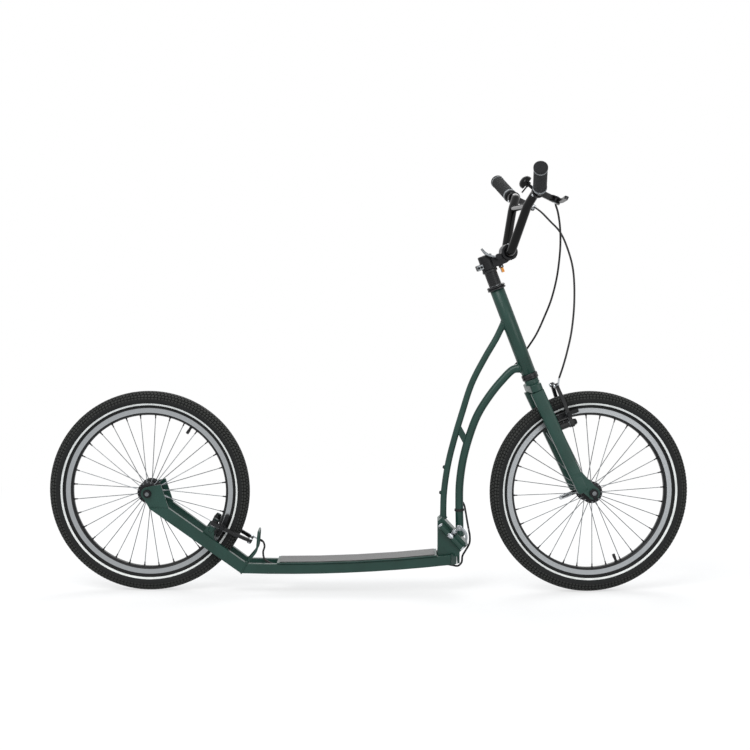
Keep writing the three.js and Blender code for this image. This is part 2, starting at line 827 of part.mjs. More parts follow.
function hingeBoxSolid() {
  const rear = hingeX - boxRearReach;
  const seat = railDepth / 2 + fit;
  const outline = (wall, bottom) => [
    [rear + wall, bottom ?? bowAt(rear, seat)],
    [railFront + fit, bottom ?? bowAt(railFront + fit, seat)],
    [railFront + fit, bottom ?? noseTop - boxWall],
    [boxLowerFront - wall, bottom ?? noseTop - boxWall],
    [boxLowerFront - wall, boxLowerHeight],
    hingePoint(jointBottomEnd - wall, rearJointFace - wall),
    hingePoint(jointTopEnd + wall, rearJointFace - wall),
    [rear + wall, boxTopHeight - wall],
  ];
  const shell = plate(outline(0), -jointHalfWidth, jointHalfWidth);
  const railInner = railCentreY - railThickness / 2;
  const railOuter = railCentreY + railThickness / 2;
  const nosePlan = (wall) => [
    [railFront + fit, wall - railOuter],
    [noseFront - wall, wall / 2 - noseTipHalfWidth],
    [noseFront - wall, noseTipHalfWidth - wall / 2],
    [railFront + fit, railOuter - wall],
  ];
  const nose = slab(nosePlan(0), noseBottom, noseTop + boxWall);
  const hollow = plate(outline(boxWall, noseBottom - overrun), -railInner + boxWall, railInner - boxWall);
  const knuckleWeb = hingeBlock(
    [upperKnuckleFrom, hingeY, -knuckleRadius],
    [upperKnuckleTo, -jointHalfWidth + fit, knuckleRadius],
  );
  const bore = hingeRod(jointTopEnd - overrun, jointBottomEnd + overrun, hingePinRadius + fit);
  const knuckle = hingeRod(upperKnuckleFrom, upperKnuckleTo, knuckleRadius);
  return cut(join(shell, nose, knuckleWeb, knuckle), hollow, bore);
}

function hingePlateSolid() {
  const top = frontJointFace + jointPlateThickness;
  const joint = hingeBlock(
    [jointTopEnd, -jointHalfWidth, frontJointFace],
    [jointBottomEnd, jointHalfWidth, top],
  );
  const web = hingeBlock(
    [lowerKnuckleFrom, hingeY, -fit],
    [lowerKnuckleTo, -jointHalfWidth - fit, top],
  );
  const ear = hingeBlock(
    [lowerKnuckleFrom, hingeY, frontJointFace],
    [lowerKnuckleTo, -jointHalfWidth + fit, top],
  );
  const knuckle = hingeRod(lowerKnuckleFrom, lowerKnuckleTo, knuckleRadius);
  const bore = hingeRod(jointTopEnd - overrun, jointBottomEnd + overrun, hingePinRadius + fit);
  return cut(join(joint, web, ear, knuckle), bore);
}

function hingePinSolid() {
  const from = upperKnuckleFrom - fit;
  const to = lowerKnuckleTo + fit;
  return join(
    hingeRod(from, to, hingePinRadius),
    hingeRod(from - hingeCapLength, from, hingeCapRadius),
    hingeRod(to, to + hingeCapLength, hingeCapRadius),
  );
}

// The eye rod stands on the hinge pin and carries the fold lever's pivot at its head
const linkEyeRadius = 7.5;
const linkEyeHalfWidth = 5;
const linkRodRadius = 3.5;
const linkNutRadius = 6.5;
const linkNutFrom = 12;
const linkNutTo = 17;
const latchOffset = 30;
const latchHeadLength = 6;
const latchPinRadius = 2.5;
const latchHalfWidth = 6;

function hingeLinkSolid() {
  const at = (w) => hingeToWorld(0, hingeY, w);
  const pinAt = (y) => hingeToWorld(0, hingeY + y, latchOffset);
  const pinReach = latchHalfWidth + latchHeadLength / 2;
  const body = join(
    hingeRod(-linkEyeHalfWidth, linkEyeHalfWidth, linkEyeRadius),
    rod(at(hingePinRadius + fit), at(latchOffset), linkRodRadius),
    rod(at(linkNutFrom), at(linkNutTo), linkNutRadius, nutSides),
    rod(pinAt(-pinReach), pinAt(pinReach), latchPinRadius),
  );
  return cut(body, hingeRod(-linkEyeRadius, linkEyeRadius, hingePinRadius + fit));
}

const latchRingRadius = 7.5;
const latchThickness = 5;
// Shares of the lever's drop and of its forward swing, from the ring to the tip
const latchLength = 44;
const latchSwing = 20;
const latchShares = [
  [0, -0.14], [0.4, -0.06], [0.88, 0.14], [1, 0.4], [0.98, 1], [0.76, 1], [0.74, 0.5], [0.52, 0.3],
  [0, 0.14],
];

function latchLeverSolid() {
  const centre = hingeToWorld(0, 0, latchOffset);
  const at = (y) => vector(centre.x, hingeY + y, centre.z);
  const corners = spread(latchShares, [centre.x, centre.z], latchSwing, -latchLength);
  const ring = (from, to) => rod(at(from), at(to), latchRingRadius);
  const outer = -latchHalfWidth + linkRodRadius / 2;
  const body = join(
    ring(-latchHalfWidth - latchHeadLength / 2, -linkRodRadius - fit),
    plate(corners, hingeY - latchHalfWidth - latchHeadLength / 2, hingeY + outer),
  );
  const bore = rod(at(-latchHalfWidth - overrun), at(latchHalfWidth + overrun), latchPinRadius + fit);
  return cut(body, bore);
}

addPiece(kickBike, 'hinge_box', hingeBoxSolid(), greenPaint);
addPiece(kickBike, 'hinge_plate', hingePlateSolid(), greenPaint);
addPiece(kickBike, 'hinge_pin', hingePinSolid(), brightMetal);
addPiece(kickBike, 'hinge_link', hingeLinkSolid(), brightMetal);
addPiece(kickBike, 'latch_lever', latchLeverSolid(), brightMetal);

// Front frame: head tube, a thin upper and a thick lower tube that sweep down to the joint plate,
// and a brace between them

const headTubeRadius = 18;
const steererRadius = 14.3;
const upperTubeRadius = 8;
const lowerTubeRadius = 10;
const tubeSteps = 16;
const upperTubeReach = 38;
const upperTubeJoin = -upperTubeReach;
const lowerTubeJoin = 22;
const upperTubeStartShare = 0.66;
const lowerTubeStartShare = 0.1;

// Shares of the way back and of the way down, from the head tube to the joint plate
const upperTubeShares = [
  [0, 0], [0.077, 0.034], [0.179, 0.099], [0.359, 0.198], [0.558, 0.323], [0.712, 0.474],
  [0.827, 0.599], [0.923, 0.724], [0.987, 0.865], [1, 1],
];
const lowerTubeShares = [
  [0, 0], [0.092, 0.016], [0.192, 0.026], [0.374, 0.094], [0.555, 0.181], [0.731, 0.29],
  [0.856, 0.415], [0.95, 0.551], [1, 0.69], [1.006, 0.817], [1, 0.931], [1, 1],
];

function frameTubeCurve(startShare, joinAt, shares) {
  const start = steeringToWorld(0, 0, headTubeBottom + startShare * headTubeLength);
  const [endX, endZ] = hingePoint(joinAt, frontJointFace + jointPlateThickness / 2);
  const points = spread(shares, [start.x, start.z], endX - start.x, endZ - start.z);
  return smoothPath(points.map(([x, z]) => vector(x, 0, z)));
}

const upperTubeCurve = frameTubeCurve(upperTubeStartShare, upperTubeJoin, upperTubeShares);
const lowerTubeCurve = frameTubeCurve(lowerTubeStartShare, lowerTubeJoin, lowerTubeShares);

const headTubeSpace = () => rod(
  steeringToWorld(0, 0, headTubeBottom - overrun),
  steeringToWorld(0, 0, headTubeBottom + headTubeLength + overrun),
  headTubeRadius + fit,
  roundSegments,
);

const belowPlateTop = () => hingeBlock(
  [jointTopEnd * 2, -jointHalfWidth, -hingeHeight],
  [jointBottomEnd * 2, jointHalfWidth, frontJointFace + jointPlateThickness + fit],
);

const upperTubeSolid = () => sweep(upperTubeCurve, upperTubeRadius, rodSegments, tubeSteps);
const lowerTubeSolid = () => sweep(lowerTubeCurve, lowerTubeRadius, rodSegments, tubeSteps);
const trimmedTube = (tube) => cut(tube, headTubeSpace(), belowPlateTop());

// The brace runs from one tube to the other and is trimmed to both
const braceFromShare = 0.56;
const braceToShare = 0.52;
const braceHeight = 33;
const braceThickness = 12;

function tubeBraceSolid() {
  const from = upperTubeCurve.getPointAt(braceFromShare);
  const to = lowerTubeCurve.getPointAt(braceToShare);
  const half = braceHeight / 2;
  const bar = plate(
    [[from.x, from.z + half], [from.x, from.z - half], [to.x, to.z - half], [to.x, to.z + half]],
    -braceThickness / 2,
    braceThickness / 2,
  );
  return cut(
    bar,
    sweep(upperTubeCurve, upperTubeRadius + fit, rodSegments, tubeSteps),
    sweep(lowerTubeCurve, lowerTubeRadius + fit, rodSegments, tubeSteps),
  );
}

const lowerRingRadius = 20.5;
const lowerRingHeight = 14;
const upperRingRadius = 23;
const upperRingHeight = 11;
const liftSleeveRadius = 16;
const collarHeight = 7;
const clampDrop = 22.4;
const stemHeadBottom = barClampHeight - clampDrop;
const liftTop = stemHeadBottom - collarHeight - 2 * fit;

addPiece(
  tiltedFrame,
  'head_tube',
  sleeve(steererRadius + fit, headTubeRadius, headTubeBottom, headTubeTop),
  greenPaint,
);
addPiece(
  tiltedFrame,
  'headset_lower',
  sleeve(steererRadius + fit, lowerRingRadius, headTubeBottom - fit - lowerRingHeight, headTubeBottom - fit),
  blackMetal,
);
addPiece(
  tiltedFrame,
  'headset_upper',
  sleeve(steererRadius + fit, upperRingRadius, headTubeTop + fit, headTubeTop + fit + upperRingHeight),
  blackMetal,
);
addPiece(kickBike, 'upper_tube', trimmedTube(upperTubeSolid()), greenPaint);
addPiece(kickBike, 'lower_tube', trimmedTube(lowerTubeSolid()), greenPaint);
addPiece(kickBike, 'tube_brace', tubeBraceSolid(), greenPaint);

// Fork: crown with the hollow steerer, two legs with dropouts and brake bosses

const steererBore = 12.7;
const crownHeight = 19;
const crownDepth = 34;
const crownShift = 4;
const crownSetback = -crownShift;
const crownNeck = 11;
const crownTop = headTubeBottom - fit - lowerRingHeight - crownNeck;
const legThickness = 20;
const legCentreY = 44;
const legBottom = 30;
const legBottomDepth = 30;
const legBottomReach = 14;
const steererRecess = 6;
const steererTop = liftTop - steererRecess;
const lugDepthShare = 0.8;
const lugShare = 0.7;

function forkCrownSolid() {
  const outer = legCentreY + legThickness / 2;
  const crownBottom = crownTop - crownHeight;
  const neckTop = crownTop + crownNeck - fit;
  const body = join(
    block(
      [crownSetback - crownDepth / 2, -outer, crownBottom],
      [crownSetback + crownDepth / 2, outer, crownTop],
    ),
    rod(vector(0, 0, crownBottom), vector(0, 0, neckTop), headTubeRadius, roundSegments),
    rod(vector(0, 0, crownTop), vector(0, 0, steererTop), steererRadius, roundSegments),
  );
  const bore = rod(
    vector(0, 0, crownBottom - overrun),
    vector(0, 0, steererTop + overrun),
    steererBore,
    roundSegments,
  );
  return cut(body, bore);
}

function forkLegSolid(side) {
  const top = crownTop - crownHeight - fit;
  const inner = side * (legCentreY - legThickness / 2);
  const outer = side * (legCentreY + legThickness / 2);
  const depthAt = (height, sign) => {
    const share = (height - legBottom) / (top - legBottom);
    const centre = THREE.MathUtils.lerp(legBottomReach, crownSetback, share);
    const depth = THREE.MathUtils.lerp(legBottomDepth, crownDepth, share);
    return [centre + sign * depth / 2, height];
  };
  const leg = plate(
    [depthAt(top, -1), depthAt(legBottom, -1), depthAt(legBottom, 1), depthAt(top, 1)],
    inner,
    outer,
  );
  const plateFrom = side * dropoutFace;
  const plateTo = side * (dropoutFace + dropoutThickness);
  const disc = rod(vector(rake, plateFrom, 0), vector(rake, plateTo, 0), dropoutRadius, roundSegments);
  const lugReach = dropoutRadius * lugShare;
  const lug = plate(
    [
      depthAt(legBottom * 2, -lugDepthShare), depthAt(legBottom, -lugDepthShare),
      [rake - lugReach, -lugReach],
      [rake + lugReach, lugReach],
      depthAt(legBottom * 2, 1),
    ],
    plateFrom,
    plateTo,
  );
  const slot = block(
    [rake - axleRadius - fit, plateFrom - side * overrun, 0],
    [rake + axleRadius + fit, plateTo + side * overrun, -dropoutRadius - overrun],
  );
  const hole = rod(
    vector(rake, plateFrom - side * overrun, 0),
    vector(rake, plateTo + side * overrun, 0),
    axleRadius + fit,
  );
  const boss = placed(
    bossSolid(side, -1, frontArmPlane - crownSetback),
    -Math.PI / 2,
    vector(frontArmPlane, 0, 0),
  );
  return cut(join(leg, disc, lug, boss), slot, hole);
}

addPiece(steeredFrame, 'fork_crown', forkCrownSolid(), greenPaint);
addPiece(
  steeredFrame,
  'lift_sleeve',
  sleeve(
    steererRadius + fit,
    liftSleeveRadius,
    headTubeTop + upperRingHeight + 2 * fit,
    liftTop,
  ),
  blackPaint,
);
for (const [name, side] of [['right', right], ['left', left]]) {
  addPiece(steeredFrame, `fork_leg_${name}`, forkLegSolid(side), greenPaint);
  const frontBrake = placed(brakeArmSolid(side, -1, right), -Math.PI / 2, vector(frontArmPlane, 0, 0));
  addPiece(steeredFrame, `front_brake_arm_${name}`, frontBrake, blackMetal);
}

// Stem: a post that slides in the steerer, and a head that twists on the post and holds the bar

const postRadius = 12.4;
const postInsert = 130;
const postBottom = headTubeTop - postInsert;
const collarRadius = 19;
const stemHeadRadius = 18;
const stemHeadRise = 14;
const stemHeadTop = barClampHeight + stemHeadRise;
const stemCapThickness = 4;
const stemReach = 59;
const stemArmWidth = 28;
const stemArmHeight = 24;
const clampRadius = 20;
const clampWidth = 44;
const barClampRadius = 12.7;
const clampSplit = 1;
const earReach = 30;
const earWidth = 20;
const earHeight = 14;

addPiece(
  steeredFrame,
  'lift_post',
  rod(
    vector(0, 0, postBottom),
    vector(0, 0, stemHeadTop - stemCapThickness - fit),
    postRadius,
    roundSegments,
  ),
  brightMetal,
);
addPiece(
  steeredFrame,
  'lift_collar',
  sleeve(postRadius + fit, collarRadius, liftTop + fit, liftTop + fit + collarHeight),
  blackPaint,
);

const stemLeverX = 28;
const stemPinRadius = 3.5;
const stemLeverFrom = 23;
const stemLeverTo = 31;
const stemLeverRing = 7.5;
const stemLeverLength = 47;
const stemLeverWidth = 10;
const stemLeverAngle = THREE.MathUtils.degToRad(137.9);
const clipX = 30;
const clipPinRadius = 1.5;
const clipHeight = 15;
const clipWidth = 14;
const clipDepth = 9;
const clipEar = 2.5;
const clipDrop = 3.5;

const armHeight = stemHeadBottom + stemArmHeight / 2;
const clipPinHeight = stemHeadBottom - clipDrop;

function clampBarrel(radius, halfWidth) {
  return rod(
    vector(stemReach, -halfWidth, barClampHeight),
    vector(stemReach, halfWidth, barClampHeight),
    radius,
    roundSegments,
  );
}

function stemHeadSolid() {
  const half = stemArmWidth / 2;
  const body = join(
    rod(vector(0, 0, stemHeadBottom), vector(0, 0, stemHeadTop), stemHeadRadius, roundSegments),
    block(
      [0, -half, armHeight - stemArmHeight / 2],
      [stemReach, half, armHeight + stemArmHeight / 2],
    ),
    clampBarrel(clampRadius, clampWidth / 2),
    block(
      [-earReach, -earWidth / 2, armHeight - earHeight / 2],
      [0, earWidth / 2, armHeight + earHeight / 2],
    ),
  );
  const pinAt = (y) => vector(stemLeverX, y, barClampHeight);
  const pin = rod(pinAt(-half), pinAt(-stemLeverTo - 2 * fit), stemPinRadius);
  const ear = (side) => block(
    [clipX - clipDepth / 2, side * (clipWidth / 2 + fit), clipPinHeight - clipPinRadius * 2],
    [clipX + clipDepth / 2, side * (clipWidth / 2 + fit + clipEar), armHeight],
  );
  const clipPin = rod(
    vector(clipX, -clipWidth / 2 - clipEar, clipPinHeight),
    vector(clipX, clipWidth / 2 + clipEar, clipPinHeight),
    clipPinRadius,
    cableSides,
  );
  const bore = rod(
    vector(0, 0, stemHeadBottom - overrun),
    vector(0, 0, stemHeadTop - stemCapThickness),
    postRadius + fit,
    roundSegments,
  );
  const slit = block(
    [-earReach - overrun, -fit, armHeight - stemArmHeight],
    [-postRadius, fit, armHeight + stemArmHeight],
  );
  const front = block(
    [stemReach, -clampWidth, barClampHeight - clampRadius * 2],
    [stemReach + clampRadius * 2, clampWidth, barClampHeight + clampRadius * 2],
  );
  const solid = cut(body, bore, slit, clampBarrel(barClampRadius + fit, clampWidth), front);
  return join(solid, pin, ear(right), ear(left), clipPin);
}

function clampCapSolid() {
  const rear = block(
    [stemReach - clampRadius * 2, -clampWidth, barClampHeight - clampRadius * 2],
    [stemReach + clampSplit, clampWidth, barClampHeight + clampRadius * 2],
  );
  const bore = clampBarrel(barClampRadius + fit, clampWidth);
  return cut(clampBarrel(clampRadius, clampWidth / 2), bore, rear);
}

function stemLeverSolid() {
  const at = (x, y, z) => vector(x, -y, z);
  const bar = placed(
    block([0, -stemLeverFrom, -stemLeverWidth / 2], [stemLeverLength, -stemLeverTo, stemLeverWidth / 2]),
    -stemLeverAngle,
    vector(stemLeverX, 0, barClampHeight),
  );
  const ring = rod(
    at(stemLeverX, stemLeverFrom, barClampHeight),
    at(stemLeverX, stemLeverTo, barClampHeight),
    stemLeverRing,
  );
  const bore = rod(
    at(stemLeverX, stemLeverFrom - overrun, barClampHeight),
    at(stemLeverX, stemLeverTo + overrun, barClampHeight),
    stemPinRadius + fit,
  );
  return cut(join(bar, ring), bore);
}

function safetyClipSolid() {
  const half = clipWidth / 2;
  const eye = rod(
    vector(clipX, -half, clipPinHeight),
    vector(clipX, half, clipPinHeight),
    clipPinRadius * 2,
  );
  const tongue = block(
    [clipX - clipPinRadius * 2, -half, clipPinHeight - clipHeight],
    [clipX + clipPinRadius * 2, half, clipPinHeight],
  );
  const bore = rod(
    vector(clipX, -half - overrun, clipPinHeight),
    vector(clipX, half + overrun, clipPinHeight),
    clipPinRadius + fit,
    cableSides,
  );
  return cut(join(eye, tongue), bore);
}

addPiece(steeredFrame, 'stem_head', stemHeadSolid(), blackMetal);
addPiece(steeredFrame, 'clamp_cap', clampCapSolid(), blackMetal);
addPiece(steeredFrame, 'stem_lever', stemLeverSolid(), blackMetal);
addPiece(steeredFrame, 'safety_clip', safetyClipSolid(), orangePlastic);

// Handlebar: one bent tube with a crossbar welded between its risers

const crossbarRadius = 7.5;
const bendReach = 12;
const kneeY = 40;
const crossbarY = 100;
const crossbarForward = 66;
const crossbarRise = 92;
const shoulderY = 132;
const shoulderForward = 91;
const shoulderRise = 116;
const gripBendY = 180;
const barEndY = 291.5;
const barEndRise = 168;
const barEndForward = 90;
const gripRadius = 16.7;
const gripCapRadius = 17.2;
const bendGap = 1;
const gripStart = bendReach + bendGap;
const gripCapThickness = 4;

const barPoint = (side, y, forward, rise) => vector(stemReach + forward, side * y, barClampHeight + rise);
const gripCorner = (side) => barPoint(side, gripBendY, shoulderForward, shoulderRise);
const barEnd = (side) => barPoint(side, barEndY, barEndForward, barEndRise);

function handlebarSolid() {
  const half = (side) => [
    barPoint(side, kneeY, 0, 0),
    barPoint(side, crossbarY, crossbarForward, crossbarRise),
    barPoint(side, shoulderY, shoulderForward, shoulderRise),
    gripCorner(side),
    barEnd(side),
  ];
  const path = bentPath([...half(right).reverse(), ...half(left)], bendReach);
  const crossbar = rod(
    barPoint(right, crossbarY, crossbarForward, crossbarRise),
    barPoint(left, crossbarY, crossbarForward, crossbarRise),
    crossbarRadius,
  );
  const thickened = clampBarrel(barClampRadius, clampWidth / 2 + fit);
  return join(sweepBent(path, barRadius, rodSegments), crossbar, thickened);
}

// A rubber sleeve with a closed outer end, pushed over the bar
function gripSolid(side) {
  const run = vector().subVectors(barEnd(side), gripCorner(side));
  const length = run.length() + gripCapThickness;
  const solid = turned([
    [barRadius + fit, gripStart], [gripRadius, gripStart], [gripRadius, length - gripCapThickness],
    [gripCapRadius, length - gripCapThickness], [gripCapRadius, length], [0, length],
    [0, run.length() + fit], [barRadius + fit, run.length() + fit],
  ]);
  const geometry = toGeometry(solid);
  geometry.applyQuaternion(new THREE.Quaternion().setFromUnitVectors(vector(0, 1, 0), run.normalize()));
  geometry.translate(...gripCorner(side).toArray());
  return toSolid(geometry);
}

addPiece(steeredFrame, 'handlebar', handlebarSolid(), blackPaint);

// Brake levers, drawn in a frame with X from the bar to the lever's pivot and Y along the bar

const perchTilt = THREE.MathUtils.degToRad(46.7);
const perchRingWidth = 14;
const perchToY = gripBendY - bendReach - bendGap;
const perchFromY = perchToY - perchRingWidth;
const perchRingRadius = 15.5;
const perchReach = 60;
const perchThickness = 16;
const perchWidth = 22;
const leverPivotX = 45;
const leverPivotY = 172;
const leverKnuckleRadius = 7;
const leverThickness = 8;
const leverPinRadius = 2.5;
const leverTipY = 290;
const leverTipX = 47;
const adjusterRadius = 4.5;
const adjusterLength = 16;
const adjusterX = 54.6;

// Shares of the blade's run along the bar and of its own width, measured forward of the tip's line
const leverBladeWidth = 9;
const leverBladeShares = [
  [-0.02, -0.75], [0.08, 0.35], [0.35, 0.2], [0.93, -0.5], [0.98, -0.35], [1, 0.1],
  [0.97, 0.55], [0.9, 0.65], [0.35, 1.2], [0.06, 1.25], [-0.04, 0.6],
];

const perchOrigin = vector(stemReach + shoulderForward, 0, barClampHeight + shoulderRise);
const inPerchFrame = (solid) => placed(solid, perchTilt, perchOrigin);

function perchSolid(side) {
  const half = perchThickness / 2;
  const y = (value) => side * value;
  const ring = rod(vector(0, y(perchFromY), 0), vector(0, y(perchToY), 0), perchRingRadius, roundSegments);
  const body = block([0, y(perchFromY), -half], [perchReach, y(perchToY), half]);
  const cheeks = block(
    [leverPivotX - perchWidth / 2, y(perchToY - fit), -half],
    [leverPivotX + perchWidth / 2 - fit, y(leverPivotY + leverKnuckleRadius), half],
  );
  const bore = rod(
    vector(0, y(perchFromY - overrun), 0),
    vector(0, y(perchToY + overrun), 0),
    barRadius + fit,
    roundSegments,
  );
  const slotHalf = leverThickness / 2 + fit;
  const slot = block(
    [leverPivotX - leverKnuckleRadius * 2, y(leverPivotY - leverKnuckleRadius - fit), -slotHalf],
    [leverPivotX + perchWidth, y(leverTipY), slotHalf],
  );
  const pin = rod(
    vector(leverPivotX, y(leverPivotY), -half + fit),
    vector(leverPivotX, y(leverPivotY), half - fit),
    leverPinRadius,
  );
  const adjuster = rod(
    vector(adjusterX, y(perchFromY + fit), 0),
    vector(adjusterX, y(perchFromY - adjusterLength), 0),
    adjusterRadius,
  );
  return inPerchFrame(join(cut(join(ring, body, cheeks), bore, slot), pin, adjuster));
}

function brakeLeverSolid(side) {
  const half = leverThickness / 2;
  const corners = leverBladeShares.map(([along, out]) => [
    leverTipX + out * leverBladeWidth,
    side * THREE.MathUtils.lerp(leverPivotY, leverTipY, along),
  ]);
  const eye = rod(
    vector(leverPivotX, side * leverPivotY, -half),
    vector(leverPivotX, side * leverPivotY, half),
    leverKnuckleRadius,
  );
  const bore = rod(
    vector(leverPivotX, side * leverPivotY, -half - overrun),
    vector(leverPivotX, side * leverPivotY, half + overrun),
    leverPinRadius + fit,
  );
  return inPerchFrame(cut(join(slab(corners, -half, half), eye), bore));
}

for (const [name, side] of [['right', right], ['left', left]]) {
  addPiece(steeredFrame, `grip_${name}`, gripSolid(side), gripRubber);
  addPiece(steeredFrame, `perch_${name}`, perchSolid(side), blackMetal);
  addPiece(steeredFrame, `brake_lever_${name}`, brakeLeverSolid(side), dullMetal);
}

// Bell on the right side of the bar, drawn with Z up the dome's axis

const bellTilt = THREE.MathUtils.degToRad(-30);
const bellY = 148;
const bellBand = 6;
const bellBandRadius = 14;
const bellPostRadius = 4;
const domeBottom = 32;
const domeRadius = 17;
const domeHeight = 17;
const strikerFrom = 25;
const strikerTo = 30;
const strikerReach = 25;
const strikerWidth = 5;
const strikerEye = 7.5;
const domeShares = [[1, 0.15], [0.94, 0.45], [0.75, 0.75], [0.42, 0.94], [0, 1]];

const bellOrigin = vector(perchOrigin.x, -bellY, perchOrigin.z);

function bellSolid() {
  const half = bellBand / 2;
  const band = rod(vector(0, -half, 0), vector(0, half, 0), bellBandRadius, roundSegments);
  const bore = rod(vector(0, -bellBand, 0), vector(0, bellBand, 0), barRadius + fit, roundSegments);
  const post = rod(vector(0, 0, barRadius + 2 * fit), vector(0, 0, domeBottom + overrun), bellPostRadius);
  const dome = turnedUpright([
    [0, domeBottom], [domeRadius, domeBottom],
    ...domeShares.map(([out, up]) => [out * domeRadius, domeBottom + up * domeHeight]),
  ]);
  return placed(join(cut(join(band, post), bore), dome), bellTilt, bellOrigin);
}

function bellStrikerSolid() {
  const eye = sleeve(bellPostRadius + fit, strikerEye, strikerFrom, strikerTo, rodSegments);
  const arm = block(
    [-(strikerEye + bellPostRadius) / 2, -strikerWidth / 2, strikerFrom],
    [-strikerReach, strikerWidth / 2, strikerTo],
  );
  return placed(join(eye, arm), bellTilt, bellOrigin);
}

addPiece(steeredFrame, 'bell', bellSolid(), blackMetal);
addPiece(steeredFrame, 'bell_striker', bellStrikerSolid(), blackMetal);

// Brake cables, which the frame holds all the way. Each is a smooth tube through points chosen by
// hand, and it ends face to face with an adjuster, a pipe or the next stretch. X is measured from
// the front hub, but at the rear brake from the rear hub.

const cableRadius = 2.5;
const fromHub = (hubX, points) => points.map(([x, y, z]) => vector(hubX + x, y, z));
const frontCableRoute = fromHub(frontHubX, [
  [-128.6, 159.6, 951.9], [-126, 140, 949], [-114, 112, 938], [-96, 88, 918], [-72, 60, 890],
  [-54, 35, 846], [-43, 15, 798], [-41, -5, 724], [-52, -22, 640], [-69, -32, 590],
  [-85, -37, 560], [-92, -38.15, 545], [-89.3, -38.15, 533.9],
]);
const rearCableTopRoute = fromHub(frontHubX, [
  [-95.4, -110.6, 964.6], [-96, -92, 960], [-89, -78, 940], [-83, -70, 905], [-81, -61, 862],
  [-83, -50, 820], [-88, -36, 776], [-99, -16, 725], [-112, 2, 687], [-132, 17, 639],
  [-153, 27, 604], [-177, 27, 569],
]);
const rearCableTubeRoute = fromHub(frontHubX, [
  [-177.3, 27, 568.6], [-221, 22, 512], [-261, 20, 454], [-288, 19, 374], [-301, 18, 299],
  [-305, 10, 225], [-303, 0, 206], [-303, -9, 187], [-301, -14, 168], [-299, -16, 156],
]);
const rearCableDeckRoute = [
  ...fromHub(frontHubX, [
    [-298.8, -16.1, 155.4], [-295, -17, 138], [-293, -17, 118], [-296, -15, 98], [-305, -13, 77],
    [-324, -10, 62], [-356, -6, 57], [-446, 4, 58], [-546, 8, 58],
  ]),
  ...fromHub(rearHubX, [
    [446, 12, 54], [346, 16, 54], [306, 18, 60], [284, 21, 72], [279, 30, 88], [282, 40, 102],
    [278, 45, 113], [267.5, 45, 118.8],
  ]),
];
const cableRoutes = [
  ['front_cable', frontCableRoute, 22],
  ['rear_cable_top', rearCableTopRoute, 20],
  ['rear_cable_tube', rearCableTubeRoute, 16],
  ['rear_cable_deck', rearCableDeckRoute, 26],
];

for (const [name, route, steps] of cableRoutes) {
  addPiece(kickBike, name, sweep(smoothPath(route), cableRadius, cableSides, steps), cableJacket);
}

// A plastic band on the lower tube where the cable runs beside it
const bandShare = 0.865;
const bandRadius = 12;
const bandWidth = 6;

function cableBandSolid() {
  const centre = lowerTubeCurve.getPointAt(bandShare);
  const along = lowerTubeCurve.getTangentAt(bandShare).multiplyScalar(bandWidth / 2);
  const from = centre.clone().sub(along);
  const to = centre.clone().add(along);
  const ring = rod(from, to, bandRadius, roundSegments);
  return cut(ring, sweep(lowerTubeCurve, lowerTubeRadius + fit, rodSegments, tubeSteps));
}

addPiece(kickBike, 'cable_band', cableBandSolid(), blackPaint);

export default kickBike;
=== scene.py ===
from math import cos, pi, radians, sin

import bmesh
import bpy
import numpy as np
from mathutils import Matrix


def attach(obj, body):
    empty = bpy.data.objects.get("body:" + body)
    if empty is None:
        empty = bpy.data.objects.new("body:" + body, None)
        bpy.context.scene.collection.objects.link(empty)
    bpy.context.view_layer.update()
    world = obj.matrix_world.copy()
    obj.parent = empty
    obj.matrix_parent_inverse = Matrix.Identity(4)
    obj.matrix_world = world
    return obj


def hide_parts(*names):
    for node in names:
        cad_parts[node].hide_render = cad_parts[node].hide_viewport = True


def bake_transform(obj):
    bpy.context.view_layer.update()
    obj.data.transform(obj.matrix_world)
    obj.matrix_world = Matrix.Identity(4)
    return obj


# A kick bike, dressed piece by piece in the order in which it is put together. Lengths are in the
# millimetres of the CAD model, with X forward, Y to the rider's left and Z up from the ground.
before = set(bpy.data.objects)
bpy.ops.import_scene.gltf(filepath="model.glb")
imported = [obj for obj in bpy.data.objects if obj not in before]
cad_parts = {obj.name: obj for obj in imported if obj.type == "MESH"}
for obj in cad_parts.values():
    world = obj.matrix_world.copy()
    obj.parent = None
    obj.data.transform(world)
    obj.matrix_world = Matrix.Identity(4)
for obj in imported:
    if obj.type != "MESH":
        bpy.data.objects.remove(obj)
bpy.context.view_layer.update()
MM = 0.001


# Studio: a pale floor under a white tent, one broad lamp high on the rider's right and two soft
# fills. The camera stands at the height of the grips and looks slightly down, as in the photo.
def linear(code):
    """Scene-linear colour of an sRGB hex code: each share c of 255 becomes c / 12.92 up to 0.04045
    and ((c + 0.055) / 1.055)^2.4 above it."""
    share = np.array([int(code[i:i + 2], 16) for i in (1, 3, 5)]) / 255
    curve = np.where(share <= 0.04045, share / 12.92, ((share + 0.055) / 1.055) ** 2.4)
    return (*curve.tolist(), 1.0)


def node(tree, kind, inputs=None, **settings):
    """One shader node with its settings, each named input set to a value or linked to a socket."""
    made = tree.nodes.new(kind)
    for name, value in settings.items():
        setattr(made, name, value)
    for name, value in (inputs or {}).items():
        if isinstance(value, bpy.types.NodeSocket):
            tree.links.new(value, made.inputs[name])
        else:
            made.inputs[name].default_value = value
    return made


scene = bpy.context.scene
scene.view_settings.view_transform = "Standard"


def direct_view(tree):
    """One for camera, glossy and transmission rays, else nought: the greatest of the three."""
    path = node(tree, "ShaderNodeLightPath").outputs
    shiny = node(tree, "ShaderNodeMath", {0: path["Is Glossy Ray"], 1: path["Is Transmission Ray"]},
                 operation="MAXIMUM")
    return node(tree, "ShaderNodeMath", {0: path["Is Camera Ray"], 1: shiny.outputs[0]},
                operation="MAXIMUM").outputs[0]


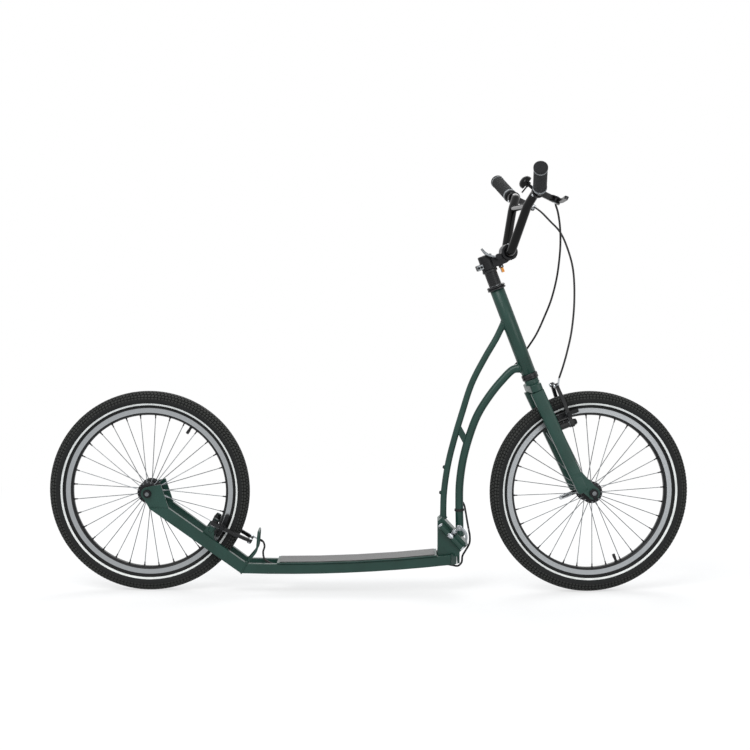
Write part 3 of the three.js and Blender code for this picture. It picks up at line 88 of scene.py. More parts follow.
def new_material(name):
    """A material and its node tree, emptied."""
    made = bpy.data.materials.new(name)
    made.use_nodes = True
    made.node_tree.nodes.clear()
    return made, made.node_tree


# White tent: it lights the object softly and is plain white to the eye
world = bpy.data.worlds.new("white studio tent")
scene.world = world
world.use_nodes = True
tent = world.node_tree
tent.nodes.clear()
dim = node(tent, "ShaderNodeBackground", {"Color": linear("#eef1f4"), "Strength": 0.62})
bright = node(tent, "ShaderNodeBackground", {"Color": linear("#ffffff"), "Strength": 1.0})
sky = node(tent, "ShaderNodeMixShader", {0: direct_view(tent), 1: dim.outputs[0],
                                         2: bright.outputs[0]})
node(tent, "ShaderNodeOutputWorld", {"Surface": sky.outputs[0]})

floor_mesh = bpy.data.meshes.new("studio_floor")
floor_corners = [(-9, -6, 0), (9, -6, 0), (9, 14, 0), (-9, 14, 0)]
floor_mesh.from_pydata(floor_corners, [], [(0, 1, 2, 3)])
studio_floor = bpy.data.objects.new("studio_floor", floor_mesh)
scene.collection.objects.link(studio_floor)

# Matt white paper: it scatters the lamps and shows the shadow at half its depth
paper, sheet = new_material("matt white backdrop paper")
lit = node(sheet, "ShaderNodeBsdfDiffuse", {"Color": linear("#e6e8ea")})
glow = node(sheet, "ShaderNodeEmission", {"Color": linear("#ffffff"), "Strength": 0.62})
shade = node(sheet, "ShaderNodeBsdfDiffuse", {"Color": linear("#a8a8a8")})
near = node(sheet, "ShaderNodeAddShader", {0: glow.outputs[0], 1: shade.outputs[0]})
# Past the object's shadow, from 1.0 to 2.1 m away, the paper turns white so that no horizon shows
spot = node(sheet, "ShaderNodeTexCoord").outputs["Object"]
away = node(sheet, "ShaderNodeVectorMath", {0: spot}, operation="LENGTH")
fade = node(sheet, "ShaderNodeMapRange",
            {"Value": away.outputs["Value"], "From Min": 1.0, "From Max": 2.1})
blank = node(sheet, "ShaderNodeEmission", {"Color": linear("#ffffff"), "Strength": 1.0})
seen = node(sheet, "ShaderNodeMixShader",
            {0: fade.outputs[0], 1: near.outputs[0], 2: blank.outputs[0]})
face = node(sheet, "ShaderNodeMixShader",
            {0: direct_view(sheet), 1: lit.outputs[0], 2: seen.outputs[0]})
node(sheet, "ShaderNodeOutputMaterial", {"Surface": face.outputs[0]})
floor_mesh.materials.append(paper)

for name, spot, size, watts, turn in (
    ("key lamp", (-1.6, -3.0, 3.4), 2.6, 105, (radians(44), 0, radians(-28))),
    ("front fill", (2.6, -3.4, 1.6), 2.4, 34, (radians(72), 0, radians(38))),
    ("back rim", (0.6, 2.8, 3.0), 2.4, 60, (radians(-48), 0, radians(-8))),
):
    lamp = bpy.data.lights.new(name, "AREA")
    lamp.shape = "SQUARE"
    lamp.size = size
    lamp.energy = watts
    stand = bpy.data.objects.new(name, lamp)
    stand.location = spot
    stand.rotation_euler = turn
    scene.collection.objects.link(stand)

lens = bpy.data.cameras.new("studio camera")
lens.sensor_width = 36
lens.lens = 94.9
camera = bpy.data.objects.new("studio camera", lens)
camera.location = (0.0712, -4.8733, 0.9697)
tilt_down, aside = 0.0883, 0.01166
camera.rotation_euler = (pi / 2 - tilt_down, 0, aside)
scene.collection.objects.link(camera)
scene.camera = camera


# Tyres: black rubber moulded over a casing, with a fine block tread and a thin pale reflective
# band on each wall. The bead sits inside the rim, and the tread is a net of shallow grooves.
def unit(vectors):
    """Vectors divided by their own lengths."""
    vectors = np.asarray(vectors, float)
    return vectors / np.linalg.norm(vectors, axis=-1, keepdims=True)


def about_y(angle):
    """Turn about Y by degrees: X leans to -Z as the angle grows."""
    c, s = cos(radians(angle)), sin(radians(angle))
    return np.array([[c, 0, s], [0, 1, 0], [-s, 0, c]])


def about_z(angle):
    """Turn about Z by degrees: X goes to Y."""
    c, s = cos(radians(angle)), sin(radians(angle))
    return np.array([[c, -s, 0], [s, c, 0], [0, 0, 1]])


def within(outer, turn=np.eye(3), at=(0, 0, 0)):
    """A frame inside another: turned by the outer one, with its origin carried the same way."""
    return outer[0] @ turn, outer[0] @ np.asarray(at, float) + outer[1]


def lattice(rows, columns, ring=False):
    """Four-sided faces between neighbours of a grid stored row by row, whose last column meets the
    first; ring joins its last row to the first as well."""
    row = np.arange(rows if ring else rows - 1)[:, None]
    column = np.arange(columns)[None, :]
    below, beside = (row + 1) % rows, (column + 1) % columns
    corners = (row * columns + column, row * columns + beside, below * columns + beside,
               below * columns + column)
    return np.stack(corners, axis=-1).reshape(-1, 4).tolist()


def smooth_path(points, steps=8):
    """Centripetal Catmull-Rom curve: each span is a Hermite cubic whose end slopes come from the
    three nearest chords, weighed by the square roots of their lengths."""
    p = np.asarray(points, float)
    p = np.vstack([2 * p[0] - p[1], p, 2 * p[-1] - p[-2]])
    d = np.sqrt(np.linalg.norm(np.diff(p, axis=0), axis=1))[:, None]
    a, b, c, e = p[:-3], p[1:-2], p[2:-1], p[3:]
    da, db, dc = d[:-2], d[1:-1], d[2:]
    leave = ((b - a) / da - (c - a) / (da + db) + (c - b) / db) * db
    reach = ((c - b) / db - (e - b) / (db + dc) + (e - c) / dc) * db
    t = np.linspace(0, 1, steps, endpoint=False)[:, None, None]
    curve = (b * (2 * t ** 3 - 3 * t ** 2 + 1) + leave * (t ** 3 - 2 * t ** 2 + t)
             + c * (3 * t ** 2 - 2 * t ** 3) + reach * (t ** 3 - t ** 2))
    return np.vstack([curve.transpose(1, 0, 2).reshape(-1, p.shape[1]), p[-2:-1]])


def lengths(path):
    """Distance along a path from its start to each of its points."""
    return np.concatenate([[0], np.cumsum(np.linalg.norm(np.diff(path, axis=0), axis=1))])


def finished(name, work, body, finish, stands_for, crisp, bevel, steps=2):
    """The mesh object from a bmesh: doubles merged, faces turned outward, edges sharper than
    `crisp` degrees kept, and a rounding of `bevel` mm along them; then its finish, body and
    stood-for nodes."""
    bmesh.ops.remove_doubles(work, verts=work.verts, dist=1e-6)
    bmesh.ops.recalc_face_normals(work, faces=work.faces)
    mesh = bpy.data.meshes.new(name)
    work.to_mesh(mesh)
    work.free()
    mesh.shade_smooth()
    mesh.set_sharp_from_angle(angle=radians(crisp))
    mesh.materials.append(finish[0])
    piece = bpy.data.objects.new(name, mesh)
    scene.collection.objects.link(piece)
    if bevel:
        rounding = piece.modifiers.new("rounded edges", "BEVEL")
        rounding.width = bevel * MM
        rounding.segments = steps
        rounding.limit_method = "ANGLE"
        rounding.angle_limit = radians(crisp)
        rounding.harden_normals = True
    if body:
        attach(piece, body)
    if stands_for:
        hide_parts(*stands_for)
    return piece


def make(name, place, parts, body, finish, stands_for=(), crisp=38, bevel=0, grain=None):
    """One piece from parts of (points, faces) in mm, taken through the frame `place` into metres.
    grain keeps one number a point for the finish, such as the distance from an axle."""
    offsets = np.cumsum([0] + [len(points) for points, _ in parts])
    points = np.concatenate([points for points, _ in parts]) @ place[0].T + place[1]
    faces = [[corner + int(offset) for corner in face]
             for offset, (_, faces) in zip(offsets, parts) for face in faces]
    mesh = bpy.data.meshes.new(name)
    mesh.from_pydata((points * MM).tolist(), [], faces)
    if grain is not None:
        layer = mesh.attributes.new("grain", "FLOAT", "POINT")
        layer.data.foreach_set("value", np.asarray(grain, np.float32))
    work = bmesh.new()
    work.from_mesh(mesh)
    return finished(name, work, body, finish, stands_for, crisp, bevel)


def turned(profile, sides, ring=False):
    """A profile of (radius, height) turned about Z: x = r cos a, y = r sin a. It starts and ends on
    the axis, or with ring it is closed on itself."""
    r, h = np.asarray(profile, float).T
    a = np.arange(sides) * 2 * pi / sides
    points = np.stack([r[:, None] * np.cos(a), r[:, None] * np.sin(a), h[:, None] + 0 * a], axis=-1)
    return points.reshape(-1, 3), lattice(len(r), sides, ring)


# Draws an outline of (x, z) upright, with its thickness along Y, or turns a lathe's axis to Y
UPRIGHT = np.array([[1, 0, 0], [0, 0, 1], [0, 1, 0]])
# A frame pairs a turn with an origin. The front hub lies fork_offset ahead of the steering axis
steering_foot, fork_offset = np.array([512.2044, 0, 236.0271]), 36.2
head_frame = (about_y(-21), steering_foot)
fork_frame = within(head_frame, about_z(7.5))
rear_hub = np.array([-546, 0, 249])
rear_wheel = (UPRIGHT, rear_hub)
front_wheel = within(fork_frame, UPRIGHT, (fork_offset, 0, 0))
# Each wheel with its frame, the angle of its valve and that of its first spoke
wheels = (("rear", rear_wheel, 56.8, 6.5), ("front", front_wheel, -89.4, 3.9))


def surface(name, dark, light, patch, rough, grain, depth, **sockets):
    """Principled surface: noise patches `patch` mm wide mix the two hex colours and the two values
    of roughness, and a finer noise of `grain` mm raises a bump `depth` mm high."""
    made, tree = new_material(name)
    place = node(tree, "ShaderNodeTexCoord").outputs["Object"]
    patches = node(tree, "ShaderNodeTexNoise",
                   {"Vector": place, "Scale": 1000 / patch, "Detail": 3.0})
    share = node(tree, "ShaderNodeMapRange",
                 {"Value": patches.outputs["Fac"], "From Min": 0.35, "From Max": 0.65})
    colour = node(tree, "ShaderNodeMix", {0: share.outputs[0], 6: linear(dark), 7: linear(light)},
                  data_type="RGBA")
    gloss = node(tree, "ShaderNodeMapRange",
                 {"Value": share.outputs[0], "To Min": rough[0], "To Max": rough[1]})
    grit = node(tree, "ShaderNodeTexNoise", {"Vector": place, "Scale": 1000 / grain, "Detail": 2.0})
    bump = node(tree, "ShaderNodeBump", {"Height": grit.outputs["Fac"], "Distance": depth * MM,
                                         "Strength": 1.0})
    named = {key.replace("_", " "): value for key, value in sockets.items()}
    shader = node(tree, "ShaderNodeBsdfPrincipled",
                  {"Base Color": colour.outputs[2], "Roughness": gloss.outputs[0],
                   "Normal": bump.outputs[0], **named})
    node(tree, "ShaderNodeOutputMaterial", {"Surface": shader.outputs["BSDF"]})
    return made


# Carbon-black natural rubber: nearly black, dull, with a faint bloom and a fine moulded grain
tyre_rubber = (surface("carbon black tyre rubber", "#111212", "#1a1b1b", 34, (0.66, 0.8), 0.9, 0.05,
                       Specular_IOR_Level=0.25), "tyre_rubber")
# The tops of the blocks are painted a lighter grey as a highlight, while the grooves and walls stay
# black
tree = tyre_rubber[0].node_tree
shader = tree.nodes["Principled BSDF"]
block_top_highlight = node(tree, "ShaderNodeAttribute", attribute_name="grain").outputs["Fac"]
tone = node(tree, "ShaderNodeMix", {0: block_top_highlight, 6: shader.inputs["Base Color"].links[0].from_socket,
                                    7: linear("#2e2f2d")}, data_type="RGBA")
tree.links.new(tone.outputs[2], shader.inputs["Base Color"])
# Glass-bead reflective film, seen here as plain matt white
reflective = (surface("white reflective film", "#d9dbd8", "#eceeeb", 22, (0.42, 0.55), 0.5, 0.02),
              "bright_metal")

# Half of the section as (radius, distance from the middle), from the crown to the bead
half_section = [(249, 0), (247.4, 11.04), (239.4, 21.6), (225.8, 24), (213.8, 16.8), (209.3, 10.2),
                (202.3, 10.2)]
wall = smooth_path(half_section[::-1] + [(r, -y) for r, y in half_section[1:]], 16)
middle = int(np.argmax(wall[:, 0]))
half_wall = wall[middle::-1]
run = lengths(half_wall)
# Distances from the crown along the section: five bands of blocks between grooves, then the wall
stops = np.array([0, 2, 4.1, 4.5, 5.9, 6.3, 9, 11.8, 12.2, 13.6, 14, 17, 20.4, 20.8, 22.2, 22.6,
                  25.4, 28.2, 28.6, 29.6, 30, 33, 34, 36, 38, 41, 44, 46, 48, 50, 52, 54,
                  57, run[-1]])
bands = np.isin(np.arange(len(stops)), (3, 4, 8, 9, 13, 14, 18, 19)) * 1.0
across_tread = (stops < 33.5) * 1.0
# Neighbouring bands are half a block apart, and all lean a little with the distance
stagger = np.select([stops < 5.2, stops < 13, stops < 21.6], [0.0, 0.5, 0.0], 0.5) + stops * 0.018
# The outer lugs fall in line with the side blocks, and the plain wall is shifted by half a block
stagger[stops > 29] = 0.02
stagger[stops > 35] = 0.5
rows = np.concatenate([-stops[:0:-1], stops])
mirror_rows = lambda half: np.concatenate([half[:0:-1], half])
row_r = np.interp(np.abs(rows), run, half_wall[:, 0])
row_y = np.interp(np.abs(rows), run, np.abs(half_wall[:, 1])) * np.sign(rows)
slope = unit(np.stack([np.gradient(row_y), -np.gradient(row_r)], axis=-1))
block_count, tread_depth = 176, 2.7
column_share = np.array([0, 0.05, 0.24, 0.29, 0.53, 0.77])
groove_share = np.array([0, 1, 1, 0, 0, 0], float)
columns = (np.arange(block_count)[:, None] + column_share).ravel()
groove = np.tile(groove_share, block_count)
cut_share = np.maximum(mirror_rows(bands)[:, None], mirror_rows(across_tread)[:, None] * groove)
cut_depth = cut_share * tread_depth
# One on the block tops, which the rubber's finish paints lighter grey as a highlight
block_top = mirror_rows(across_tread)[:, None] * (1 - cut_share)
angle = (columns[None, :] + mirror_rows(stagger)[:, None]) * 2 * pi / block_count
r = row_r[:, None] - slope[:, :1] * cut_depth
y = row_y[:, None] - slope[:, 1:] * cut_depth
tyre_points = np.stack([r * np.cos(angle), r * np.sin(angle), y + 0 * angle], axis=-1)
tyre_faces = lattice(len(rows), len(columns), ring=True)
# The band stands 0.3 mm out of the wall, with its two edges sunk in the rubber
stripe_r = np.array([215.2, 215.4, 217.6, 219.8, 220])
stripe_out = np.array([-0.6, 0.25, 0.3, 0.25, -0.6])
shoulder = 224
order = np.argsort(half_wall[:, 0])
side_wall = half_wall[order][half_wall[order, 0] < shoulder]
stripe_y = np.interp(stripe_r, side_wall[:, 0], np.abs(side_wall[:, 1])) + stripe_out
for end, place, *_ in wheels:
    make(f"{end}_tyre_rubber", place, [(tyre_points.reshape(-1, 3), tyre_faces)], f"{end}_wheel",
         tyre_rubber, (f"{end}_tyre",), crisp=24, grain=block_top.ravel())
    bands_of_film = [turned(np.column_stack([stripe_r, side * stripe_y]), 160, ring=True)
                     for side in (-1, 1)]
    make(f"{end}_tyre_stripes", place, bands_of_film, f"{end}_wheel", reflective)


# Rims: extruded aluminium, rolled and welded to a hoop. The body is anodised black, and the brake
# tracks on both walls are turned bare, which leaves fine rings round the axle.
def mirrored(half):
    """A closed (radius, width) profile: its half at positive width, then back at negative."""
    half = np.asarray(half, float)
    return np.vstack([half, (half * (1, -1))[::-1]])


# Black anodised rim: even and deep grey-black, a little duller than the hubs
rim_black = (surface("black anodised rim", "#111213", "#191a1b", 26, (0.34, 0.44), 0.5, 0.01,
                     Specular_IOR_Level=0.3), "bright_metal")

# Bare turned aluminium: bright, with rings 0.5 mm apart, coarser than real ones so that they show
turned_alloy, tree = new_material("turned bare aluminium")
distance = node(tree, "ShaderNodeAttribute", attribute_name="grain").outputs["Fac"]
spread_out = node(tree, "ShaderNodeMath", {0: distance, 1: 2.0}, operation="MULTIPLY")
rings = node(tree, "ShaderNodeTexNoise", {"W": spread_out.outputs[0], "Scale": 1.0, "Detail": 2.0},
             noise_dimensions="1D")
ring_colour = node(tree, "ShaderNodeMix",
                   {0: rings.outputs["Fac"], 6: linear("#6b6f72"), 7: linear("#bcbfc1")},
                   data_type="RGBA")
ring_bump = node(tree, "ShaderNodeBump", {"Height": rings.outputs["Fac"], "Distance": 0.00004})
shader = node(tree, "ShaderNodeBsdfPrincipled",
              {"Base Color": ring_colour.outputs[2], "Metallic": 0.9, "Roughness": 0.4,
               "Normal": ring_bump.outputs[0]})
node(tree, "ShaderNodeOutputMaterial", {"Surface": shader.outputs["BSDF"]})
brake_track = (turned_alloy, "bright_metal")

hoop_sides = 240
rim_half = [(189.6, 0), (189.6, 5.2), (190.2, 6.4), (194.3, 12), (195.2, 12.4), (208.4, 12.4),
            (209, 12), (209, 10.9), (208.2, 10.5), (203.6, 10.5), (202.2, 9.4),
            (200.6, 4.5), (200.4, 0)]
track_half = np.array([(195.9, 12.2), (196.1, 12.55), (200, 12.5), (204, 12.5), (207.5, 12.55),
                       (207.7, 12.2)])
for end, place, *_ in wheels:
    body = f"{end}_wheel"
    make(f"{end}_rim_body", place, [turned(mirrored(rim_half), hoop_sides, ring=True)],
         body, rim_black, (f"{end}_rim",))
    tracks = [turned(track_half * (1, side), hoop_sides, ring=True) for side in (-1, 1)]
    make(f"{end}_brake_tracks", place, tracks, body, brake_track,
         grain=np.tile(np.repeat(track_half[:, 0], hoop_sides), 2))


# Hubs, spokes and valves: an anodised hub shell with two drilled flanges, 32 plain steel spokes
# that run straight out from their heads in the flanges, short nipples and a capped valve.
def bars(starts, ends, radius, sides=8):
    """Straight round bars, all at once: a ring of points at either end, square to the run."""
    starts, ends = np.asarray(starts, float), np.asarray(ends, float)
    run = unit(ends - starts)
    first = unit(np.cross(run, np.where(np.abs(run[:, 2:]) < 0.7, (0, 0, 1), (1, 0, 0))))
    second = np.cross(run, first)
    a = (np.arange(sides) * 2 * pi / sides)[None, :, None]
    outward = radius * (np.cos(a) * first[:, None] + np.sin(a) * second[:, None])
    points = np.stack([starts[:, None] + outward, ends[:, None] + outward], axis=1)
    shift = (np.arange(len(starts)) * 2 * sides)[:, None, None]
    walls = (np.array(lattice(2, sides)) + shift).reshape(-1, 4).tolist()
    caps = (np.arange(2 * sides).reshape(2, sides) + shift).reshape(-1, sides).tolist()
    return points.reshape(-1, 3), walls + caps


def aimed(part, at, along):
    """A part turned so that its Z points along a direction, and moved to a point."""
    points, faces = part
    z = unit(along)
    x = unit(np.cross(np.eye(3)[int(np.argmin(np.abs(z)))], z))
    basis = np.column_stack([x, np.cross(z, x), z])
    return points @ basis.T + np.asarray(at, float), faces


# Black anodised aluminium: deep grey-black with a soft metal sheen
black_anodised = (surface("black anodised aluminium", "#131416", "#1c1d1f", 18, (0.34, 0.48), 0.4,
                          0.01, Metallic=0.4, Specular_IOR_Level=0.3), "black_metal")
# Stainless wire: bright grey steel, drawn smooth
spoke_steel = (surface("drawn stainless steel", "#5c5f61", "#7b7e80", 30, (0.3, 0.4), 0.6, 0.01,
                       Metallic=1.0), "bright_steel")
# Oxidised brass: brown-black and dull
nipple_black = (surface("black oxidised brass", "#1a1a1b", "#262627", 9, (0.34, 0.46), 0.5, 0.01,
                        Metallic=0.5), "black_metal")
# Valve rubber: black with a dull skin
valve_rubber = (surface("black valve rubber", "#131313", "#1b1b1b", 8, (0.5, 0.62), 0.6, 0.02,
                        Specular_IOR_Level=0.3), "tyre_rubber")

hub_half = [(5.3, 45.7), (11.4, 45.7), (12, 45.1), (12, 40.6), (13.2, 38), (15.5, 35.4),
            (26.3, 34.5), (27, 33.9), (27, 32.1), (26.3, 31.5), (16.4, 30.6), (13.9, 27.5),
            (13.1, 22), (12.7, 10)]
valve = [(0, 0), (4.2, 0), (4.2, 1.5), (3.3, 2.2), (3.3, 9), (3.9, 9.4), (3.9, 18.6),
         (3.2, 19.6), (0, 19.6)]
# Spokes of one side, their circle of holes in a flange, and their seats in the rim
side_spokes = 16
hole_radius, flange_middle = 24.3, 33
seat_radius, seat_offset, valve_seat = 189, 3.5, 190
step = 360 / side_spokes
for end, place, valve_angle, spoke_turn in wheels:
    body = f"{end}_wheel"
    make(f"{end}_hub_shell", place, [turned(mirrored(hub_half), 72, ring=True)], body,
         black_anodised, (f"{end}_hub",))
    for name, side in (("right", -1), ("left", 1)):
        i = np.arange(side_spokes)
        # Heads lie by turns on the outer and the inner face of the flange
        lean = np.where(i % 2, -1, 1)
        turn = radians(step) * i + radians(spoke_turn + (step / 2 if side > 0 else 0))
        out = np.column_stack([np.cos(turn), np.sin(turn), 0 * turn])
        width_at = lambda offset: (0, 0, 1) * (side * (flange_middle + lean * offset))[:, None]
        hole, head, tip = (out * hole_radius + width_at(offset) for offset in (2.3, -1.4, -3.1))
        seat = out * seat_radius + (0, 0, side * seat_offset)
        pull = unit(seat - hole)
        wires = [bars(hole, seat - pull * 5, 1.0), bars(hole, head, 1.0), bars(head, tip, 2.1)]
        make(f"{end}_spoke_wires_{name}", place, wires, body, spoke_steel,
             (f"{end}_spokes_{name}",))
        nipples = [bars(seat - pull * 8, seat - pull * 1, 1.6, 6),
                   bars(seat - pull * 1.4, seat + pull * 0.9, 2.4)]
        make(f"{end}_nipples_{name}", place, nipples, body, nipple_black)
    out = np.array([cos(radians(valve_angle)), sin(radians(valve_angle)), 0])
    make(f"{end}_valve", place, [aimed(turned(valve, 20), out * valve_seat, -out)], body,
         valve_rubber)


# Axles: steel rods with cut threads, locknuts inside the dropouts and black hexagon nuts on washers
# outside; the front one is a skewer with a nut on the right and a cam seat on the left.
def thread(radius, start, stop, depth=0.35):
    """The (radius, height) saw profile of a thread, with a crest and a root in each millimetre."""
    count = int(abs(stop - start) * 2)
    height = np.linspace(start, stop, count + 1)
    return list(zip(np.where(np.arange(count + 1) % 2, radius - depth, radius), height))


def chamfered(radius, low, high, edge, sides):
    """A pin, washer or hexagon nut: a solid from low to high along Z with its edges cut off."""
    return turned([(0, low), (radius - edge, low), (radius, low + edge), (radius, high - edge),
                   (radius - edge, high), (0, high)], sides)


rear_rod = [(0, -66.6), *thread(4.9, -66.4, -47), (4.9, 47), *thread(4.9, 47, 66.4), (0, 66.6)]
rear_parts, rear_nuts = [turned(rear_rod, 28)], []
for side in (-1, 1):
    rear_parts.append(chamfered(8.5, side * 46, side * 50, side * 0.6, 40))
    rear_nuts.append(chamfered(8.7, side * 57.8, side * 64.1, side * 0.9, 6))
    rear_nuts.append(chamfered(10.2, side * 56.4, side * 57.9, side * 0.3, 40))
make("rear_axle_set", rear_wheel, rear_parts, "rear_frame", spoke_steel, ("rear_axle",))
make("rear_axle_nuts", rear_wheel, rear_nuts, "rear_frame", black_anodised, bevel=0.3)

skewer = [turned([(0, -66.4)] + thread(3, -66.4, -60) + [(4.9, -60), (4.9, 56), (0, 56)], 28),
          chamfered(8.5, -46, -50, -0.6, 40), chamfered(8.5, 46, 50, 0.6, 40),
          chamfered(4.6, -63, -66, -0.8, 40)]
make("front_skewer", front_wheel, skewer, "fork", spoke_steel, ("front_axle",))
make("front_skewer_nut", front_wheel, [chamfered(9, -56.6, -64.2, -1.6, 40)], "fork",
     black_anodised)
housing = [(0, 56.6), (8.2, 56.6), (9, 57.4), (9, 58), (0, 58)]
make("front_cam_seat", front_wheel, [turned(housing, 40)], "fork", black_anodised)


# Hub lever: the forged quick-release lever at the left end of the skewer. Its eye and neck are
# anodised black, its loop is polished, and a pin through the skewer's end holds it.
def eased(corners, reach, steps=5):
    """A closed outline whose corners become quadratic arcs that start and end `reach` mm away, or a
    bit under half an edge away where that is less."""
    c = np.asarray(corners, float)
    back, ahead = np.roll(c, 1, axis=0) - c, np.roll(c, -1, axis=0) - c

    def shorten(edge):
        near_half = 0.48 * np.linalg.norm(edge, axis=1, keepdims=True)
        return unit(edge) * np.minimum(reach, near_half)

    first, last = (c + shorten(back))[:, None], (c + shorten(ahead))[:, None]
    t = np.linspace(0, 1, steps)[None, :, None]
    curve = first * (1 - t) ** 2 + 2 * c[:, None] * t * (1 - t) + last * t ** 2
    return curve.reshape(-1, c.shape[1])


def slab(outline, low, high):
    """A flat outline in XY carried up Z from low to high, with both ends closed."""
    flat = np.asarray(outline, float)
    count = len(flat)
    points = np.vstack([np.column_stack([flat, np.full(count, z)]) for z in (low, high)])
    return points, lattice(2, count) + [list(range(count)), list(range(count, 2 * count))]


# Polished forged aluminium: light grey with a clear shine
polished_alloy = (surface("polished forged aluminium", "#a9adb0", "#b7babd", 14,
                          (0.18, 0.24), 0.5, 0.004, Metallic=1.0), "bright_metal")
# Bright zinc: blue-white plating over steel, slightly clouded
zinc = (surface("bright zinc plated steel", "#9ea2a6", "#c6cacd", 7, (0.22, 0.36), 0.4, 0.01,
                Metallic=1.0), "bright_steel")
hub_lever_frame = within(fork_frame, at=(fork_offset, 64.1, 0))
neck = slab(eased([(1, -3), (-33, -2.6), (-33, 2.6), (1, 3)], 1), -5.2, 5.2)
loop = eased([(-28, -4.6), (-40, -5.9), (-66, -5.4), (-66, 5.4), (-40, 5.9), (-28, 4.6)], 5)
hole_in_loop = eased([(-40, -2.2), (-59, -2.4), (-59, 2.4), (-40, 2.2)], 2.5)
make("hub_lever_neck", hub_lever_frame, [chamfered(6.5, -5.4, 5.4, 0.6, 32), neck], "hub_lever",
     black_anodised, bevel=0.7)
flat_frame = within(hub_lever_frame, UPRIGHT)
make("hub_lever_blade", flat_frame, [slab(loop, -2.6, 2.6)], "hub_lever", polished_alloy,
     ("hub_lever",), bevel=1.2)
make("hub_lever_inlay", flat_frame, [slab(hole_in_loop, -2.75, 2.75)], "hub_lever", black_anodised)
make("hub_lever_pin", hub_lever_frame, [chamfered(2.5, -6, 6, 0.4, 20)], "fork", zinc)


# Rear frame: two bowed steel tubes of rectangular section under the board, mitred and welded to the
# arms that rise to the hub, each with its dropout, brake bracket and boss; all sprayed green.
def merged_copy(name, source, body, finish, bevel, steps=2):
    """A CAD solid as one smooth-shaded piece: its loose triangles merged, flat neighbours dissolved
    to whole faces, and its edges rounded."""
    work = bmesh.new()
    work.from_mesh(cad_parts[source].data)
    bmesh.ops.remove_doubles(work, verts=work.verts, dist=2e-6)
    bmesh.ops.dissolve_limit(work, angle_limit=radians(1), verts=work.verts, edges=work.edges)
    return finished(name, work, body, finish, (source,), crisp=30, bevel=bevel, steps=steps)


# Stoved enamel over steel: deep teal green, an even satin gloss with a slight orange peel
green = (surface("teal green stoved enamel", "#15352d", "#1a3c34", 60, (0.3, 0.37), 2.2, 0.012,
                 Specular_IOR_Level=0.34), "green_paint")


def swept(path, section, lean=(0, 1, 0), scale=None):
    """A closed section of (side, up) pairs carried along a path and capped: side is the run crossed
    with `lean`, up is side crossed with the run, and scale grows the section point by point."""
    path = np.asarray(path, float)
    run = unit(np.gradient(path, axis=0))
    side = unit(np.cross(run, lean))
    up = np.cross(side, run)
    section = np.broadcast_to(section, (len(path),) + np.shape(section)[-2:])
    if scale is not None:
        section = section * np.asarray(scale)[:, None, None]
    points = path[:, None] + section[..., :1] * side[:, None] + section[..., 1:] * up[:, None]
    count = section.shape[1]
    ends = [list(range(count)), list(range((len(path) - 1) * count, len(path) * count))]
    return points.reshape(-1, 3), lattice(len(path), count) + ends


def circle(radius, sides=20):
    """A round section: radius times the cosine and sine of equal angles."""
    a = np.arange(sides) * 2 * pi / sides
    return radius * np.column_stack([np.cos(a), np.sin(a)])


def weld(path, radius, lean, ripple=2.4):
    """A weld bead: a round section along a path, swelling by an eighth with each ripple."""
    swell = 1 + 0.13 * np.abs(np.sin(lengths(path) * pi / ripple))
    return swept(path, circle(radius, 12), lean, swell)


def densely(corners, step=0.8):
    """Points every `step` mm or so along straight runs between corners."""
    c = np.asarray(corners, float)
    along = lengths(c)
    t = np.linspace(0, along[-1], int(along[-1] / step) + 2)
    return np.column_stack([np.interp(t, along, axis) for axis in c.T])


WORLD = (np.eye(3), np.zeros(3))
for name, side in (("right", -1), ("left", 1)):
    merged_copy(f"rail_tube_{name}", f"deck_rail_{name}", "rear_frame", green, 2.4, steps=3)
    merged_copy(f"arm_tube_{name}", f"rear_arm_{name}", "rear_frame", green, 1.3)
    # One bead runs round each mitre, where the arm meets the rail
    outside, inside = side * 45.1, side * 29.9
    bead = densely([(-302.8, outside, 73.2), (-316.6, outside, 48.6), (-316.6, inside, 48.6),
                    (-302.8, inside, 73.2), (-302.8, outside, 73.2)])
    make(f"mitre_weld_{name}", WORLD, [weld(bead, 1.7, (1, 0, 0.55))], "rear_frame", green,
         crisp=70)


# Footboard: folded sheet steel on the rails with a stuck-on covering of grit paper, and a bent wire
# hoop behind it that keeps the heel off the tyre.
def bent(corners, reach, steps=9):
    """An open path whose inner corners become quadratic arcs, as `eased` makes them."""
    c = np.asarray(corners, float)
    arcs = eased(c, reach, steps)[steps:-steps]
    return np.vstack([c[:1], arcs, c[-1:]])


# Silicon carbide grit on a black film: dull, with grains 1.6 mm apart, coarser than real to show
grit_paper, tree = new_material("anti-slip grit paper")
place = node(tree, "ShaderNodeTexCoord").outputs["Object"]
grains = node(tree, "ShaderNodeTexVoronoi", {"Vector": place, "Scale": 620.0})
sparkle = node(tree, "ShaderNodeMapRange",
               {"Value": grains.outputs["Distance"], "From Min": 0.0, "From Max": 0.7})
worn = node(tree, "ShaderNodeTexNoise", {"Vector": place, "Scale": 22.0, "Detail": 4.0})
grit_tone = node(tree, "ShaderNodeMix",
                 {0: worn.outputs["Fac"], 6: linear("#131414"), 7: linear("#232525")},
                 data_type="RGBA")
grit_bump = node(tree, "ShaderNodeBump", {"Height": sparkle.outputs[0], "Distance": 0.0002},
                 invert=True)
shader = node(tree, "ShaderNodeBsdfPrincipled",
              {"Base Color": grit_tone.outputs[2], "Roughness": 0.5, "Specular IOR Level": 0.8,
               "Normal": grit_bump.outputs[0]})
node(tree, "ShaderNodeOutputMaterial", {"Surface": shader.outputs["BSDF"]})

merged_copy("footboard_plate", "deck_plate", "rear_frame", green, 0.9)
merged_copy("footboard_covering", "grip_mat", "rear_frame", (grit_paper, "mat_covering"), 0.4)

